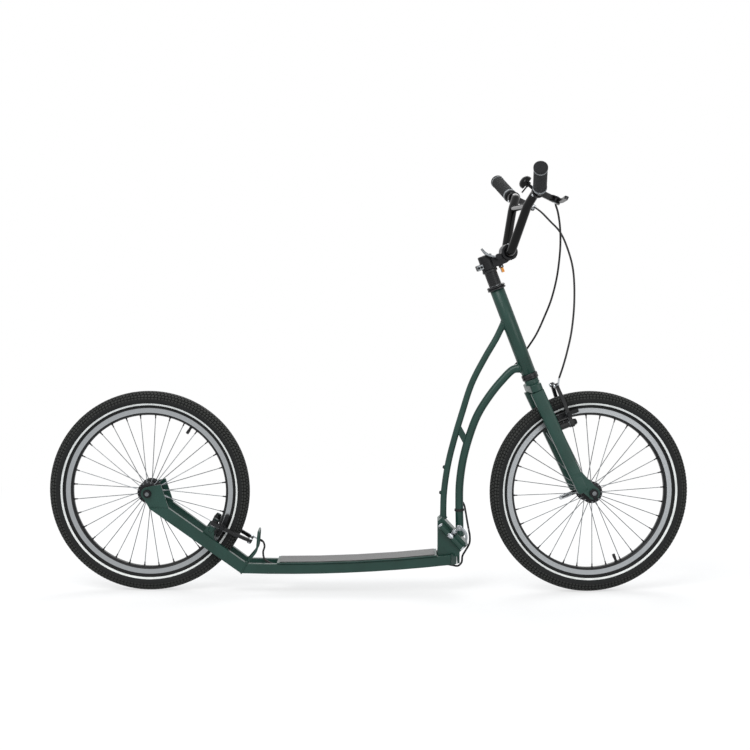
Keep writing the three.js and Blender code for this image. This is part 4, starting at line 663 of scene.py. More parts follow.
hoop = [(-303, -34, 73.9), (-278, -34, 103), (-274, -34, 150), (-274, 34, 150), (-278, 34, 103),
        (-303, 34, 73.9)]
make("heel_hoop", WORLD, [swept(bent(hoop, 12), circle(2.7), (1, 0, 0.3))], "rear_frame", green,
     ("heel_guard",), crisp=60)
dab = turned([(0, 0), (5, 0), (5.2, 0.8), (4.2, 2.2), (3.2, 3)], 20)
feet = [aimed(dab, (-303, side * 34, 73.5), (0.66, 0, 0.75)) for side in (-1, 1)]
make("heel_hoop_welds", WORLD, feet, "rear_frame", green)


# Fold joint: a welded sheet box on the rails and a thick plate on the tubes meet face to face,
# hinged on a riveted pin at the right side and drawn together by an eye rod and a cam lever.
fold_frame = (about_y(47), np.array([201.0, -44, 144]))
merged_copy("fold_box", "hinge_box", "rear_frame", green, 1.1)
merged_copy("fold_plate", "hinge_plate", "front_frame", green, 1.1)
rivet = turned([(0, -38.6), (4, -38.6), (6, -38), (6.5, -37), (6.5, -34.3), (4, -34.3), (4, 41.3),
                (6.5, 41.3), (6.5, 44), (6, 45), (4, 45.6), (0, 45.6)], 36)
make("fold_rivet", fold_frame, [aimed(rivet, (0, 0, 0), (1, 0, 0))], "rear_frame", zinc,
     ("hinge_pin",))

eye = turned([(4.3, -5), (6.9, -5), (7.5, -4.4), (7.5, 4.4), (6.9, 5), (4.3, 5)], 36, ring=True)
shank = turned([(0, 6)] + thread(3.5, 6, 31, 0.3) + [(0, 31)], 24)
rod = [aimed(eye, (0, 0, 0), (1, 0, 0)), shank, chamfered(6.5, 12, 17, 0.8, 6),
       chamfered(7, 10.6, 11.9, 0.3, 32)]
make("fold_eye_rod", fold_frame, rod, "front_frame", zinc, ("hinge_link",))
cam_centre = (0, 0, 30)
cross_pin = [aimed(chamfered(2.5, -9.4, 9.4, 0.5, 24), cam_centre, (0, 1, 0)),
             aimed(chamfered(4.4, 5.6, 9, 0.6, 24), cam_centre, (0, 1, 0))]
make("fold_cross_pin", fold_frame, cross_pin, "front_frame", zinc)

# Polished steel of the cam levers: mid grey, since it mirrors the dark parts round it
lever_steel = (surface("polished lever steel", "#75797c", "#979b9e", 9, (0.24, 0.34), 0.4, 0.01,
                       Metallic=1.0), "bright_steel")
latch_frame = (UPRIGHT, fold_frame[0] @ cam_centre + fold_frame[1])
latch_run = bent([(1, 0, 0), (9, -4.5, 0), (16.4, -14, 0), (17.6, -26, 0), (17.2, -43, 0)], 5)
latch_width = np.interp(np.arange(len(latch_run)), (0, 10, 24, len(latch_run) - 1),
                        (1.0, 0.9, 0.66, 0.5))
oval = circle(1, 24) * (4.2, 2.1)
lever_eye = [(2.8, -9), (6.8, -9), (7.5, -8.3), (7.5, -4.5), (6.8, -3.9), (2.8, -3.9)]
lever_shape = [swept(latch_run + (0, 0, -6.6), oval, (0, 0, 1), latch_width),
               turned(lever_eye, 36, ring=True)]
make("fold_lever", latch_frame, lever_shape, "latch_lever", lever_steel, ("latch_lever",), crisp=50)


# Front frame: a head tube, a thin upper and a thick lower tube that sweep down to the joint plate,
# and a flat brace between them; steel, fillet-welded and sprayed green.
# Anodised headset cups: black with a tight satin gloss
headset_black = (surface("black anodised headset", "#111214", "#191a1c", 14, (0.26, 0.36), 0.4,
                         0.008, Specular_IOR_Level=0.35), "black_metal")


def pipe(inner, outer, low, high, edge, sides):
    """A pipe or band between two radii, from low to high along Z, with its four rims cut off."""
    return turned([(inner, low + edge), (inner + edge, low), (outer - edge, low),
                   (outer, low + edge), (outer, high - edge), (outer - edge, high),
                   (inner + edge, high), (inner, high - edge)], sides, ring=True)


head_radius = 18
make("head_pipe", head_frame, [pipe(14.6, head_radius, 328, 550, 0.7, 72)], "front_frame", green,
     ("head_tube",), crisp=50)
low_ring = [(14.6, 313.8), (19.2, 313.8), (20.3, 314.8), (20.5, 316), (20.5, 319), (19.7, 319.5),
            (19.7, 320.4), (20.5, 321), (20.5, 326.6), (19.8, 327.6), (14.6, 327.6)]
high_ring = [(14.6, 550.4), (21.8, 550.4), (23, 551.4), (23, 554.2), (22, 554.9), (21.4, 555.5),
             (22.2, 556.1), (23, 556.8), (23, 559.6), (20.5, 561.2), (14.6, 561.2)]
for name, ring in (("lower", low_ring), ("upper", high_ring)):
    make(f"{name}_headset", head_frame, [turned(ring, 72, ring=True)], "front_frame", headset_black,
         (f"headset_{name}",), crisp=30)


def shared_curve(shares, start, end):
    """A curve in the middle plane through shares of the way from start to end in X and Z."""
    shares = np.asarray(shares, float)
    points = np.asarray(start) + shares * (np.asarray(end) - np.asarray(start))
    return smooth_path(np.column_stack([points[:, 0], 0 * points[:, 0], points[:, 1]]), steps=10)


def saddle(path, tube_radius, count=72):
    """Where a tube's skin meets the head tube's: for each point round the tube, the distance along
    its run at which it lies on the head tube's radius, the greater root of a quadratic."""
    out = unit(path[8] - path[0])
    axis = head_frame[0] @ (0, 0, 1)
    first = unit(np.cross(out, (0, 1, 0)))
    a = np.linspace(0, 2 * pi, count)
    skin = tube_radius * (np.cos(a)[:, None] * first + np.sin(a)[:, None] * np.array([0, 1, 0]))
    flat = lambda v: v - (v @ axis)[..., None] * axis
    p, q = flat(skin + path[0] - head_frame[1]), flat(out)
    b, c = p @ q, (p * p).sum(axis=1) - (head_radius + 0.2) ** 2
    t = (-b + np.sqrt(b ** 2 - (q @ q) * c)) / (q @ q)
    return path[0] + skin + t[:, None] * out


upper_curve = shared_curve([(0, 0), (0.077, 0.034), (0.179, 0.099), (0.359, 0.198), (0.558, 0.323),
                            (0.712, 0.474), (0.827, 0.599), (0.923, 0.724), (0.987, 0.865), (1, 1)],
                           (342.15, 679.03), (183.97, 180.08))
lower_curve = shared_curve([(0, 0), (0.092, 0.016), (0.192, 0.026), (0.374, 0.094), (0.555, 0.181),
                            (0.731, 0.29), (0.856, 0.415), (0.95, 0.551), (1, 0.69), (1.006, 0.817),
                            (1, 0.931), (1, 1)], (386.70, 562.97), (224.89, 136.20))
for name, curve, radius in (("upper", upper_curve, 8), ("lower", lower_curve, 10)):
    # The tube starts 12 mm along, inside the head tube's wall, and swells a little toward both ends
    along = lengths(curve)
    shown, from_end = along > 12, along[-1] - along
    flare = 1 + 0.16 * np.exp(-((along - 16) / 9) ** 2) + 0.12 * np.exp(-(from_end / 9) ** 2)
    tube = swept(curve[shown], circle(radius, 40), (0, 1, 0), flare[shown])
    make(f"{name}_frame_tube", WORLD, [tube], "front_frame", green, (f"{name}_tube",), crisp=60)
    collar = weld(saddle(curve, radius * 1.1), 1.9, (0.3, 0.2, 0.9), 2.6)
    make(f"{name}_tube_weld", WORLD, [collar], "front_frame", green, crisp=70)
    out = unit(curve[-4] - curve[-1])
    bead = turned(circle(2.1, 14) + (radius + 0.6, 0), 60, ring=True)
    make(f"{name}_tube_foot_weld", WORLD, [aimed(bead, curve[-1] + out * 3, out)], "front_frame",
         green, crisp=70)
merged_copy("frame_brace", "tube_brace", "front_frame", green, 1.6)

# Two threaded bosses for a bottle cage on the back of the upper tube, each closed by its screw
for number, height in ((1, 307.5), (2, 244.5)):
    spot = np.array([np.interp(height, upper_curve[::-1, 2], upper_curve[::-1, 0]), 0, height])
    nearest = int(np.argmin(np.abs(upper_curve[:, 2] - height)))
    back = unit(np.cross(unit(upper_curve[nearest + 1] - upper_curve[nearest - 1]), (0, 1, 0)))
    back *= -np.sign(back[0])
    boss = turned([(0, 6.6), (5, 6.6), (5, 8.6), (4.4, 9.2), (0, 9.2)], 28)
    screw = turned([(0, 9), (4, 9), (4, 10.4), (3.2, 11.8), (1.7, 12), (1.7, 10.6), (0, 10.6)], 24)
    make(f"bottle_boss_{number}", WORLD, [aimed(boss, spot, back)], "front_frame", green)
    make(f"bottle_screw_{number}", WORLD, [aimed(screw, spot, back)], "front_frame", black_anodised)


# Fork: a forged crown with a short neck, the zinc-plated steerer in it, two tapered legs of rounded
# box section and a dropout plate on each; steel, welded and sprayed green.
def arc(centre, radius, first, last, count):
    """Points on a circle in a plane: the centre plus the radius times cosine and sine of even
    angles, from the first to the last in degrees."""
    a = np.radians(np.linspace(first, last, count))
    return centre + radius * np.column_stack([np.cos(a), np.sin(a)])


flat_fork = within(fork_frame, UPRIGHT)
plan = eased([(-17, -54), (13, -54), (13, 54), (-17, 54)], 12)
make("fork_crown_block", fork_frame, [slab(plan, 283.7, 302.7)], "fork", green,
     ("fork_crown",), bevel=3)
neck = [(0, 300), (18.6, 301), (18.2, 303.6), (17.6, 306), (17.8, 312.8), (17.2, 313.4), (0, 313.4)]
make("fork_neck", fork_frame, [turned(neck, 60)], "fork", green, crisp=50)
make("steerer_tube", fork_frame, [pipe(12.7, 14.3, 305, 590, 0.3, 60)], "fork", zinc)
for name, side in (("right", -1), ("left", 1)):
    # From the foot up: the leg leans back, spreads over the dropout, and is rounded off at its tip
    height = np.array([10, 11, 13, 16, 30, 45, 60, 90, 120, 160, 200, 240, 270, 283.4])
    share = (height - height[0]) / (height[-1] - height[0])
    set_out = 3.6 * np.clip((75 - height) / 35, 0, 1)
    run = np.column_stack([15.4 - 19.4 * share, side * (44 + set_out), height])
    grow = np.array([0.7, 0.86, 0.95, 1] + [1] * 10)[:, None, None]
    depth, width = 29 + 5 * share[:, None], 19.5
    around = np.arange(48) * 2 * pi / 48
    # A superellipse: cosine and sine raised to a power below one draw a box with round corners
    boxy = lambda v: np.sign(v) * np.abs(v) ** 0.42
    section = np.stack([depth / 2 * boxy(np.cos(around)),
                        width / 2 * boxy(np.sin(around)) + 0 * depth], axis=-1)
    make(f"fork_blade_{name}", fork_frame, [swept(run, section * grow)], "fork", green,
         (f"fork_leg_{name}",), crisp=60)
    # The plate's outline runs down its back, into the slot for the axle and up its front
    hub = (fork_offset, 0)
    outline = np.vstack([[(-0.3, 60), (2, 30)], arc(hub, 16, -135, -110, 6), [(30.9, -14.6)],
                         arc(hub, 5.3, 180, 0, 12), [(41.5, -14.6)], arc(hub, 16, -70, 45, 16),
                         [(27.1, 60)]])
    low, high = sorted((side * 50.3, side * 56.3))
    make(f"front_dropout_{name}", flat_fork, [slab(outline, low, high)], "fork", green, bevel=1)


# Rim brakes: each a pair of forged arms on bosses, tied by a cable that a bent steel pipe leads in,
# with moulded rubber pads on threaded studs. A coil spring at each boss opens the arms.
# Moulded pad rubber: black and dull, with a fine grain
pad_rubber = (surface("moulded brake rubber", "#151616", "#1e1f1f", 12, (0.62, 0.76), 0.8, 0.04,
                      Specular_IOR_Level=0.25), "tyre_rubber")
# Painted forging: black with a soft gloss over a faintly uneven skin
forged_black = (surface("black painted forging", "#101112", "#191a1b", 16, (0.3, 0.42), 1.2, 0.02,
                        Specular_IOR_Level=0.3), "black_metal")
# A brake's frame has X out from the hub and Y along the axle; `facing` is its arms' side in Z
rear_brake = (about_y(27.4), rear_hub)
front_brake = within(fork_frame, about_y(-90), (42, 0, 0))
blade_outline = [(172, 36), (171.5, 50.2), (188, 50.6), (205.6, 49.3), (230, 46.6), (248.6, 42.6),
                 (268, 36), (283, 29.6), (282, 21.6), (274, 22.4), (262, 28.4), (246, 33.4),
                 (225, 34.6), (207.8, 34.2)]


def flipped(part, side, facing):
    """A part drawn for the left arm in front of its boss, taken to the other side or behind it."""
    points, faces = part
    return points * (1, side, facing), faces


def moved(part, at):
    """A part carried to a point."""
    points, faces = part
    return points + at, faces


# The boss that an arm turns on, the foot of its pad's stud, and the joint of the cable
boss, stud_foot, cable_joint = (180, 40, 0), (201.5, 0, 7.5), (278, 0, 7.5)
pad_section = eased([(-5.4, -3.6), (5.4, -3.6), (5.4, 3.6), (-5.4, 3.6)], 1.6)
holder_section = eased([(-4.2, -1), (4.2, -1), (4.2, 1), (-4.2, 1)], 0.6)
for end, place, body, facing, pipe_side, pipe_end in (
    ("rear", rear_brake, "rear_frame", 1, 1, (296.6, 45, 7.5)),
    ("front", front_brake, "fork", -1, -1, (295, 45, 17)),
):
    for name, side in (("right", -1), ("left", 1)):
        arm = f"{end}_brake_arm_{name}"
        turn = lambda *parts: [flipped(part, side, facing) for part in parts]
        blade = slab(smooth_path(blade_outline + blade_outline[:1], 5)[:-1], 3.2, 11.8)
        sleeve = moved(pipe(4.8, 8, 0.4, 16, 0.7, 36), boss)
        make(f"{arm}_forging", place, turn(blade, sleeve), arm, forged_black, (arm,), bevel=1.9)
        # The pad follows the rim's curve, is notched four times and rounds off at both ends
        z = np.linspace(-31, 31, 63)
        notches = 1 - 0.12 * (np.abs(z[:, None] - np.array([-21, -11, 11, 21])).min(axis=1) < 0.9)
        ends_in = np.sqrt(np.clip(1 - (np.abs(z) / 32.2) ** 10, 0.05, 1))
        pad_run = np.column_stack([202.2 - z ** 2 / 404, 0 * z + 18.2, z + 7.5])
        pad = swept(pad_run, pad_section, (0, 1, 0), notches * ends_in)
        make(f"{arm}_pad", place, turn(pad), arm, pad_rubber)
        pad_holder = swept(pad_run[6:-6] + (0, 4.1, 0), holder_section, (0, 1, 0))
        make(f"{arm}_pad_holder", place, turn(pad_holder), arm, black_anodised)
        stud = [turned([(0, 23)] + thread(3, 23, 53.5, 0.25) + [(0, 53.5)], 20),
                chamfered(5.6, 51.4, 55.2, 0.6, 6), chamfered(7, 26, 33.2, 2.4, 32),
                chamfered(6.6, 49.4, 51.6, 0.5, 32)]
        stud = [aimed(part, stud_foot, (0, 1, 0)) for part in stud]
        make(f"{arm}_pad_stud", place, turn(*stud), arm, black_anodised)
        anchor = moved(chamfered(5, 0, 13.7, 0.8, 32), (278, 26, 0))
        make(f"{arm}_anchor", place, turn(anchor), arm, zinc, crisp=50)
        coil = np.linspace(0, 3.2 * 2 * pi, 130)
        spring = np.column_stack([boss[0] + 9 * np.cos(coil), boss[1] + 9 * np.sin(coil),
                                  0.6 + 2.2 * coil / coil[-1]])
        spring = np.vstack([spring, [(206, 47.6, 2.6), (214, 46.6, 2.4)]])
        make(f"{arm}_spring", place, turn(swept(spring, circle(0.8, 8), (0, 0, 1))), arm,
             spoke_steel)
        bolt = [moved(chamfered(6.7, 16.4, 20.9, 0.7, 6), boss),
                moved(chamfered(8.2, 16.1, 17.2, 0.2, 32), boss)]
        make(f"{arm}_bolt", place, turn(*bolt), body, black_anodised)
        if end == "front":
            post = [chamfered(8, -46, 0, 0.6, 36), chamfered(4.5, -1, 17, 0.4, 24)]
            post = [aimed(part, boss, (0, 0, 1)) for part in post]
            make(f"front_boss_{name}", place, turn(*post), body, forged_black)
    turn = lambda *parts: [flipped(part, pipe_side, facing) for part in parts]
    arm = f"{end}_brake_arm_{'left' if pipe_side > 0 else 'right'}"
    noodle = bent([(278, 27, 7.5), (278, 45, 7.5), pipe_end], 9.5)
    make(f"{end}_brake_pipe", place, turn(swept(noodle, circle(2.3, 16), (0, 0, 1))), arm,
         zinc, crisp=60)
    across = np.linspace(21, -9, 61)
    folds = np.column_stack([3.1 + 0.9 * np.abs(np.sin(across * pi / 5)), across])
    boot, skin = turned(np.vstack([folds, [(0, -9)]]), 20)
    mouth = [list(range(20))]
    boot = aimed((boot, skin + mouth), cable_joint, (0, 1, 0))
    make(f"{end}_brake_boot", place, turn(boot), arm, valve_rubber)
    wire = smooth_path([(278, 20, 7.5), (278, -20, 7.5), (278, -32, 7.5), (276, -40, 7.5)])
    make(f"{end}_brake_wire", place, turn(swept(wire, circle(0.8, 10), (0, 0, 1))), arm,
         spoke_steel)


# Lift and stem: a bare post slides in the steerer under a ribbed clamp sleeve; the cast head twists
# on the post, clamps the bar, and is locked by a cam lever and an orange clip.
sleeve_foot, sleeve_top, groove_pitch, groove_width = 561.8, 596, 4.9, 0.9
levels = np.linspace(sleeve_foot, sleeve_top, 115)
grooved = np.mod(levels - sleeve_foot, groove_pitch) < groove_width
ribbed = np.column_stack([15.9 - 0.6 * grooved, levels])
ribbed = np.vstack([[(14.6, sleeve_foot)], ribbed, [(14.6, sleeve_top)]])
make("clamp_sleeve", fork_frame, [turned(ribbed, 60, ring=True)], "fork", forged_black,
     ("lift_sleeve",), crisp=30)
make("slide_post", fork_frame, [chamfered(12.4, 420, 635.6, 0.6, 60)], "stem_lift", polished_alloy,
     ("lift_post",), crisp=50)
make("slide_collar", fork_frame, [pipe(12.7, 19, 596.3, 603.2, 1.0, 60)], "stem_lift",
     forged_black, ("lift_collar",))

head_profile = [(12.8, 603.8), (17.3, 603.8), (18, 604.6), (18, 637.6), (17.4, 639),
                (16, 640), (5.5, 640), (5.2, 638.6), (0, 638.6), (0, 636), (12.8, 636)]
stem_arm = eased([(6, 604), (46, 604), (50, 606), (60, 608), (60, 644), (44, 641), (38, 629),
                  (6, 627.5)], 3)
# The bar's centre and the cam lever's pivot; the clamp's halves are drawn in X and Z
clamp, lever_pivot = (59, 0, 626), (28, 0, 626)
half_ring = lambda first, last: np.vstack([arc(clamp[::2], 20, first, last, 24),
                                           arc(clamp[::2], 13, last, first, 24)])
ear = eased([(-30, 608.8), (-12, 608.8), (-12, 622.4), (-30, 622.4)], 2.5)
ears = [slab(ear, low, low + 9.5) for low in (-10, 0.5)]
make("stem_casting", fork_frame, [turned(head_profile, 60, ring=True)], "bar", black_anodised,
     ("stem_head",))
make("stem_arm", flat_fork, [slab(stem_arm, -14, 14)] + ears, "bar", black_anodised, bevel=1.8)
make("stem_clamp_rear", flat_fork, [slab(half_ring(90, 270), -22, 22)], "bar",
     black_anodised, bevel=1)
make("stem_clamp_front", flat_fork, [slab(half_ring(-86, 86), -22, 22)], "bar", black_anodised,
     ("clamp_cap",), bevel=1)


def cap_screw(radius, height, socket):
    """A screw head with a sunk socket: up its side, over a cut rim and down the socket."""
    return turned([(0, 0), (radius, 0), (radius, height - 0.5), (radius - 0.5, height),
                   (socket, height), (socket, 0.8), (0, 0.8)], 28)


screws = [aimed(cap_screw(3.4, 4, 1.9), (66.5, side * 15, 626 + rise * 15.6), (1, 0, 0))
          for side in (-1, 1) for rise in (-1, 1)]
make("stem_clamp_screws", fork_frame, screws, "bar", zinc)
side_plate = eased([(-29, 609.6), (-13.5, 609.6), (-13.5, 621.6), (-29, 621.6)], 2.5)
make("stem_ear_plate", flat_fork, [slab(side_plate, -11.6, -10)], "bar", lever_steel, bevel=0.3)
ear_screws = [aimed(cap_screw(3, 3.4, 1.7), (x, -11.6, 615.6), (0, -1, 0)) for x in (-25, -17.8)]
make("stem_ear_screws", fork_frame, ear_screws, "bar", black_anodised)
lever_pin = aimed(chamfered(3.5, -31.6, -13, 0.5, 28), lever_pivot, (0, 1, 0))
make("stem_lever_pin", fork_frame, [lever_pin], "bar", black_anodised)

lever_run = smooth_path([(0, -26.4, 0), (8, -26.4, 3.2), (20, -26.4, 5.4), (33, -26.4, 4.2),
                         (46.5, -26.4, -2.2)])
lever_turn = within(fork_frame, about_y(-137.9), lever_pivot)
lever_size = np.interp(np.arange(len(lever_run)), (0, 8, 24, len(lever_run) - 1),
                       (0.8, 0.72, 1.0, 0.8))
lever_blade = swept(lever_run, circle(1, 24) * (3.6, 4.8), (0, 1, 0), lever_size)
make("stem_lever_blade", lever_turn, [lever_blade], "stem_lever", lever_steel, ("stem_lever",),
     crisp=60)
cam = turned([(3.8, -31), (6.8, -31), (7.5, -30.2), (7.5, -23.8), (6.8, -23), (3.8, -23)],
             40, ring=True)
make("stem_lever_cam", fork_frame, [aimed(cam, lever_pivot, (0, 1, 0))], "stem_lever",
     black_anodised)
spacer = aimed(pipe(3.6, 6.4, -22.6, -14, 0.5, 32), lever_pivot, (0, 1, 0))
make("stem_lever_spacer", fork_frame, [spacer], "bar", black_anodised)

# Moulded acetal: warm orange with a half-matt skin
orange = (surface("amber orange moulded acetal", "#d8871a", "#e3952a", 6, (0.36, 0.44), 0.7, 0.01),
          "orange_plastic")
merged_copy("orange_clip", "safety_clip", "safety_clip", orange, 0.8)
clip_ear = eased([(25.5, 596.8), (34.5, 596.8), (34.5, 608), (25.5, 608)], 2)
clip_ears = [slab(clip_ear, side * 7.3, side * 9.8) for side in (-1, 1)]
make("clip_ears", flat_fork, clip_ears, "bar", black_anodised, bevel=0.4)
clip_pin = aimed(chamfered(1.5, -10.4, 10.4, 0.3, 16), (30, 0, 600.1), (0, 1, 0))
make("clip_pin", fork_frame, [clip_pin], "bar", zinc)


# Handlebar: one drawn steel tube, bent cold, thickened where the stem clamps it, with a thinner
# crossbar welded between the risers; gloss black enamel. Moulded rubber grips close its ends.
# Stoved gloss enamel: deep black that shows the lamps as thin lines
gloss_black = (surface("gloss black stoved enamel", "#070808", "#0c0d0d", 50,
                       (0.1, 0.15), 2.6, 0.006, Specular_IOR_Level=0.17), "black_paint")
# Butyl rubber: dark grey, matt, slightly soft to the light
grip_grey = (surface("dark grey moulded grip rubber", "#1c1d1e", "#262728", 16, (0.62, 0.74), 0.8,
                     0.03, Specular_IOR_Level=0.3), "grip_rubber")
# Moulded ring: light grey and half matt
ring_grey = (surface("light grey moulded ring", "#8b8f92", "#a5a9ab", 9, (0.4, 0.5), 0.6, 0.01),
             "grip_rubber")

half_bar = np.array([(59, 40, 626), (125, 100, 718), (150, 132, 742), (150, 180, 742),
                     (149, 291.5, 794)])
whole_bar = np.vstack([half_bar[::-1] * (1, -1, 1), half_bar])
crossbar = [(125, -101, 718), (125, -50, 718), (125, 50, 718), (125, 101, 718)]
swelling = turned([(0, -36), (11, -36), (12.7, -22.4), (12.7, 22.4), (11, 36), (0, 36)], 48)
bar_parts = [swept(bent(whole_bar, 12, 13), circle(11, 36), (1, 0, 0)),
             swept(crossbar, circle(7.5, 28), (1, 0, 0)), aimed(swelling, clamp, (0, 1, 0))]
make("bar_tube", fork_frame, bar_parts, "bar", gloss_black, ("handlebar",), crisp=50)
bead = turned(circle(1.6, 12) + (8.0, 0), 40, ring=True)
joins = [aimed(bead, (125, side * 89.4, 718), (0, 1, 0)) for side in (-1, 1)]
make("crossbar_welds", fork_frame, joins, "bar", gloss_black, crisp=70)

for name, side in (("right", -1), ("left", 1)):
    corner, end = half_bar[3] * (1, side, 1), half_bar[4] * (1, side, 1)
    reach = float(np.linalg.norm(end - corner))
    # Round ribs between two smooth collars
    rib_pitch, rib_height = 3.1, 0.75
    level = np.arange(26, reach - 9, 0.55)
    ribs = np.column_stack([15.7 + rib_height * np.abs(np.sin(level * pi / rib_pitch)), level])
    sleeve = np.vstack([[(11.4, 13.4), (15.4, 13.4), (16.5, 14.4), (16.6, 17)],
                        [(16.6, 25), (15.6, 25.6)], ribs,
                        [(15.6, reach - 8.6), (16.6, reach - 8), (16.6, reach - 0.2),
                         (11.4, reach - 0.2)]])
    on_bar = lambda part: aimed(part, corner, end - corner)
    make(f"grip_sleeve_{name}", fork_frame, [on_bar(turned(sleeve, 48, ring=True))],
         "bar", grip_grey, (f"grip_{name}",), crisp=60)
    end_cap = [(0, reach), (16.6, reach), (17.2, reach + 0.8), (17.2, reach + 2.4),
               (15.8, reach + 3.8), (0, reach + 4)]
    make(f"grip_end_cap_{name}", fork_frame, [on_bar(turned(end_cap, 48))], "bar", black_anodised)
    hoops = [on_bar(turned(circle(0.9, 10) * (1, 1.3) + (16.3, high), 60, ring=True))
             for high in (18.6, 22.6, reach - 4.6)]
    make(f"grip_rings_{name}", fork_frame, hoops, "bar", ring_grey)


# Brake levers and bell: cast black holders clamp the bar and carry forged levers on riveted pins,
# with turned adjusters where the cables start; a spun bell sits on a band by the right one.
# Anodised lever forging: dark grey with a soft metal sheen
lever_finish = (surface("dark anodised lever forging", "#17181a", "#232427", 20, (0.26, 0.36), 0.7,
                        0.01, Metallic=0.5), "lever_alloy")
grip_frame = within(fork_frame, about_y(46.7), (150, 0, 742))
lever_axle, lever_length = (45, 172, 0), 118
# The blade's outline as shares of its length from the rivet and of 9 mm across it
blade = np.array([(-0.02, -0.75), (0.08, 0.35), (0.35, 0.2), (0.93, -0.5), (0.98, -0.35), (1, 0.1),
                  (0.97, 0.55), (0.9, 0.65), (0.35, 1.2), (0.06, 1.25), (-0.04, 0.6)])
blade = eased(np.column_stack([47 + 9 * blade[:, 1], 172 + lever_length * blade[:, 0]]), 6, 7)
for name, side in (("right", -1), ("left", 1)):
    mirror = lambda *parts: [(points * (1, side, 1), faces) for points, faces in parts]
    body_plan = eased([(8, 153.4), (34, 154.6), (60, 153.6), (60, 165.6), (8, 166.8)], 5)
    cheek = eased([(32, 160), (60, 156), (57.6, 172), (53, 179), (38, 179), (33, 172)], 5)
    holder = [slab(body_plan, -7.4, 7.4), slab(cheek, 4.4, 8), slab(cheek, -8, -4.4)]
    make(f"lever_holder_{name}", grip_frame, mirror(*holder), "bar", forged_black,
         (f"perch_{name}",), bevel=1.3)
    band = aimed(pipe(11.3, 15.5, 153.2, 166.9, 0.8, 48), (0, 0, 0), (0, 1, 0))
    make(f"lever_band_{name}", grip_frame, mirror(band), "bar", forged_black)
    bolt = aimed(cap_screw(3.2, 3.2, 1.7), (-8, 160, -12.4), (-0.4, 0, -0.9))
    make(f"lever_band_screw_{name}", grip_frame, mirror(bolt), "bar", zinc)
    adjuster = turned([(0, 153.6), (6.2, 153.6), (6.2, 150), (5.2, 149.2), (5.6, 148.6), (5.6, 143),
                       (4.5, 142.2), (4.5, 137.4), (3.9, 137), (0, 137)], 36)
    make(f"cable_adjuster_{name}", grip_frame,
         mirror(aimed(adjuster, (54.6, 0, 0), (0, 1, 0))), "bar", polished_alloy, crisp=30)
    rivet = turned([(0, -9), (3.6, -9), (4, -8.4), (4, -8), (2.5, -8), (2.5, 8), (4, 8),
                    (4, 8.6), (3.4, 9.2), (0, 9.2)], 28)
    make(f"lever_rivet_{name}", grip_frame, mirror(moved(rivet, lever_axle)), "bar", zinc)
    eye = turned([(2.8, -4), (6.4, -4), (7, -3.4), (7, 3.4), (6.4, 4), (2.8, 4)], 36, ring=True)
    make(f"lever_blade_{name}", grip_frame, mirror(slab(blade, -4, 4), moved(eye, lever_axle)),
         f"brake_lever_{name}", lever_finish, (f"brake_lever_{name}",), bevel=1.8)

bell_frame = within(fork_frame, about_y(-30), (150, -148, 742))
dome = smooth_path([(17, 34), (16.9, 38), (15.4, 42.4), (11.8, 46), (6.6, 48.4), (0.01, 49)], 6)
dome = np.vstack([[(0, 32.8), (15.6, 32.8), (16.4, 32), (17, 32.4)], dome, [(0, 49)]])
make("bell_dome", bell_frame, [turned(dome, 60)], "bar", gloss_black, ("bell",), crisp=40)
band = aimed(pipe(11.3, 14, -3, 3, 0.4, 48), (0, 0, 0), (0, 1, 0))
post = turned([(0, 12), (4, 12), (4, 33.5), (0, 33.5)], 24)
make("bell_band", bell_frame, [band, post], "bar", black_anodised)
screw = turned([(0, 48.6), (2.6, 48.6), (2.6, 49.0), (1.6, 49.3), (0, 49.4)], 24)
make("bell_screw", bell_frame, [screw], "bar", zinc)
hammer = eased([(-5, -2.4), (-20, -1.8), (-24.9, -2.5), (-24.9, 2.5), (-20, 1.8), (-5, 2.4)], 1.4)
hammer_eye = turned([(4.3, 25), (7, 25), (7.5, 25.5), (7.5, 29.5), (7, 30), (4.3, 30)],
                    32, ring=True)
make("bell_hammer", bell_frame, [slab(hammer, 25.8, 29.2), hammer_eye], "bell_striker",
     black_anodised, ("bell_striker",), bevel=0.5)


# Brake cables: steel wire in a lined steel coil under black vinyl, 5 mm across, with crimped end
# ferrules. They hang in loose arcs from the levers, run down the lower tube and under the board.
# Extruded vinyl: black with a soft shine along its length
vinyl = (surface("black vinyl cable jacket", "#101011", "#181819", 18, (0.34, 0.44), 0.8, 0.01,
                 Specular_IOR_Level=0.3), "cable_jacket")


def jacket(name, path, lean, body=None, stands_for=()):
    return make(name, WORLD, [swept(path, circle(2.5, 16), lean)], body, vinyl,
                stands_for, crisp=60)


front_route = [(417.4, 159.6, 951.9), (420, 140, 949), (432, 112, 938), (450, 88, 918),
               (474, 60, 890), (492, 35, 846), (503, 15, 798), (505, -5, 724), (497.5, -22, 650),
               (486, -33, 599), (475.5, -36.5, 561.5),
               front_brake[0] @ (295, -45, -17) + front_brake[1]]
steps = 9
whole = smooth_path(front_route, steps)
split = 7 * steps
top_part = jacket("front_cable_top", whole[:split + 1], (1, 0, 0.2), stands_for=("front_cable",))
low_part = jacket("front_cable_low", whole[split:], (1, 0, 0.2))
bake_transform(top_part)
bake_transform(low_part)

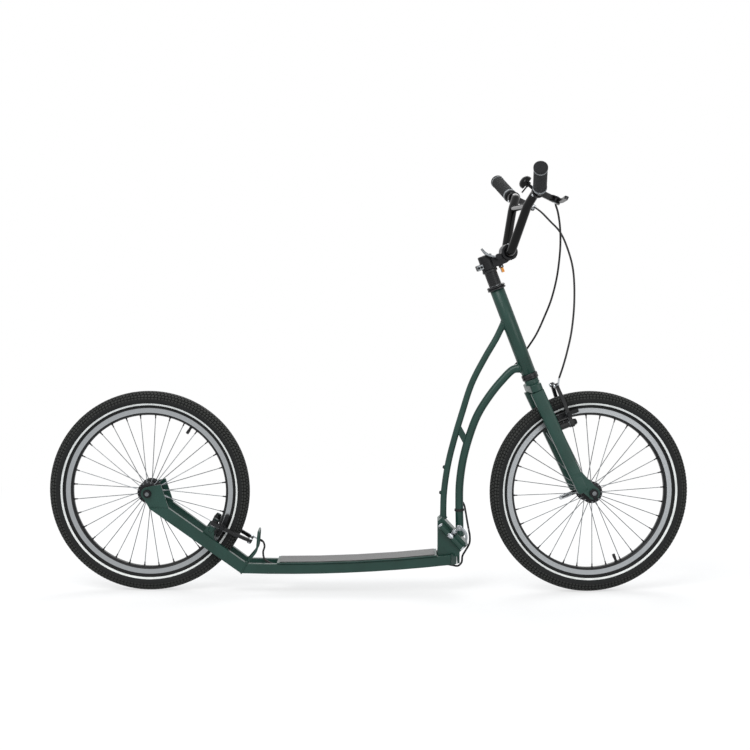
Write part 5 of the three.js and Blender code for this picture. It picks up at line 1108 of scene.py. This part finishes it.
top_route = [(450.6, -110.6, 964.6), (450, -92, 960), (457, -78, 940), (463, -70, 905),
             (465, -61, 862), (463, -50, 820), (458, -36, 776), (447, -16, 725), (434, 2, 687),
             (414, 17, 639), (393, 27, 604), (369, 27, 569)]
whole = smooth_path(top_route, steps)
first, second = 6 * steps, 9 * steps
top_part = jacket("rear_cable_bar", whole[:first + 1], (1, 0, 0.2), stands_for=("rear_cable_top",))
middle_part = jacket("rear_cable_stem", whole[first:second + 1], (1, 0, 0.2))
low_part = jacket("rear_cable_head", whole[second:], (0, 1, 0.2))
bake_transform(top_part)
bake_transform(middle_part)
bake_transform(low_part)

tube_route = [(368.7, 27, 568.6), (319, 19, 512), (279, 14, 454), (246, 13, 374),
              (229.5, 12.8, 299), (226, 12.7, 232), (236, 6, 214), (240, -3, 196), (243, -11, 178),
              (247, -16, 156)]
whole = smooth_path(tube_route, steps)
split = 5 * steps
jacket("rear_cable_down_tube", whole[:split + 1], (0, 1, 0), "front_frame", ("rear_cable_tube",))
loop_part = jacket("rear_cable_fold_loop", whole[split:], (1, 0, 0))
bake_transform(loop_part)

deck_route = [(247.2, -16.1, 155.4), (250, -17, 138), (249, -17, 120), (240, -16, 103),
              (232, -14, 88), (230, -12, 72), (221, -10, 62.5), (206, -8, 64), (190, -6, 66),
              (100, 4, 62), (0, 8, 58), (-100, 12, 54), (-200, 16, 54), (-240, 18, 60),
              (-262, 21, 72), (-267, 30, 88), (-264, 40, 102), (-268, 45, 113), (-278.5, 45, 118.8)]
whole = smooth_path(deck_route, steps)
jacket("rear_cable_under_board", whole, (0, 1, 0), "rear_frame", ("rear_cable_deck",))
ferrule = turned([(0, 0), (2.7, 0), (3.1, 0.5), (3.1, 9.4), (2.8, 10), (0, 10)], 24)
make("rear_cable_under_board_ferrule_end", WORLD,
     [aimed(ferrule, whole[-1], whole[-3] - whole[-1])], "rear_frame", black_anodised)

# A moulded band holds the cable beside the lower tube, 0.865 of the way down it
along = lengths(lower_curve)
spot = np.array([np.interp(0.865 * along[-1], along, axis) for axis in lower_curve.T])
nearest = int(np.argmin(np.linalg.norm(lower_curve - spot, axis=1)))
band = aimed(pipe(10.2, 12, -3, 3, 0.5, 48), spot,
             lower_curve[nearest + 1] - lower_curve[nearest - 1])
make("cable_band_ring", WORLD, [band], "front_frame", valve_rubber, ("cable_band",))
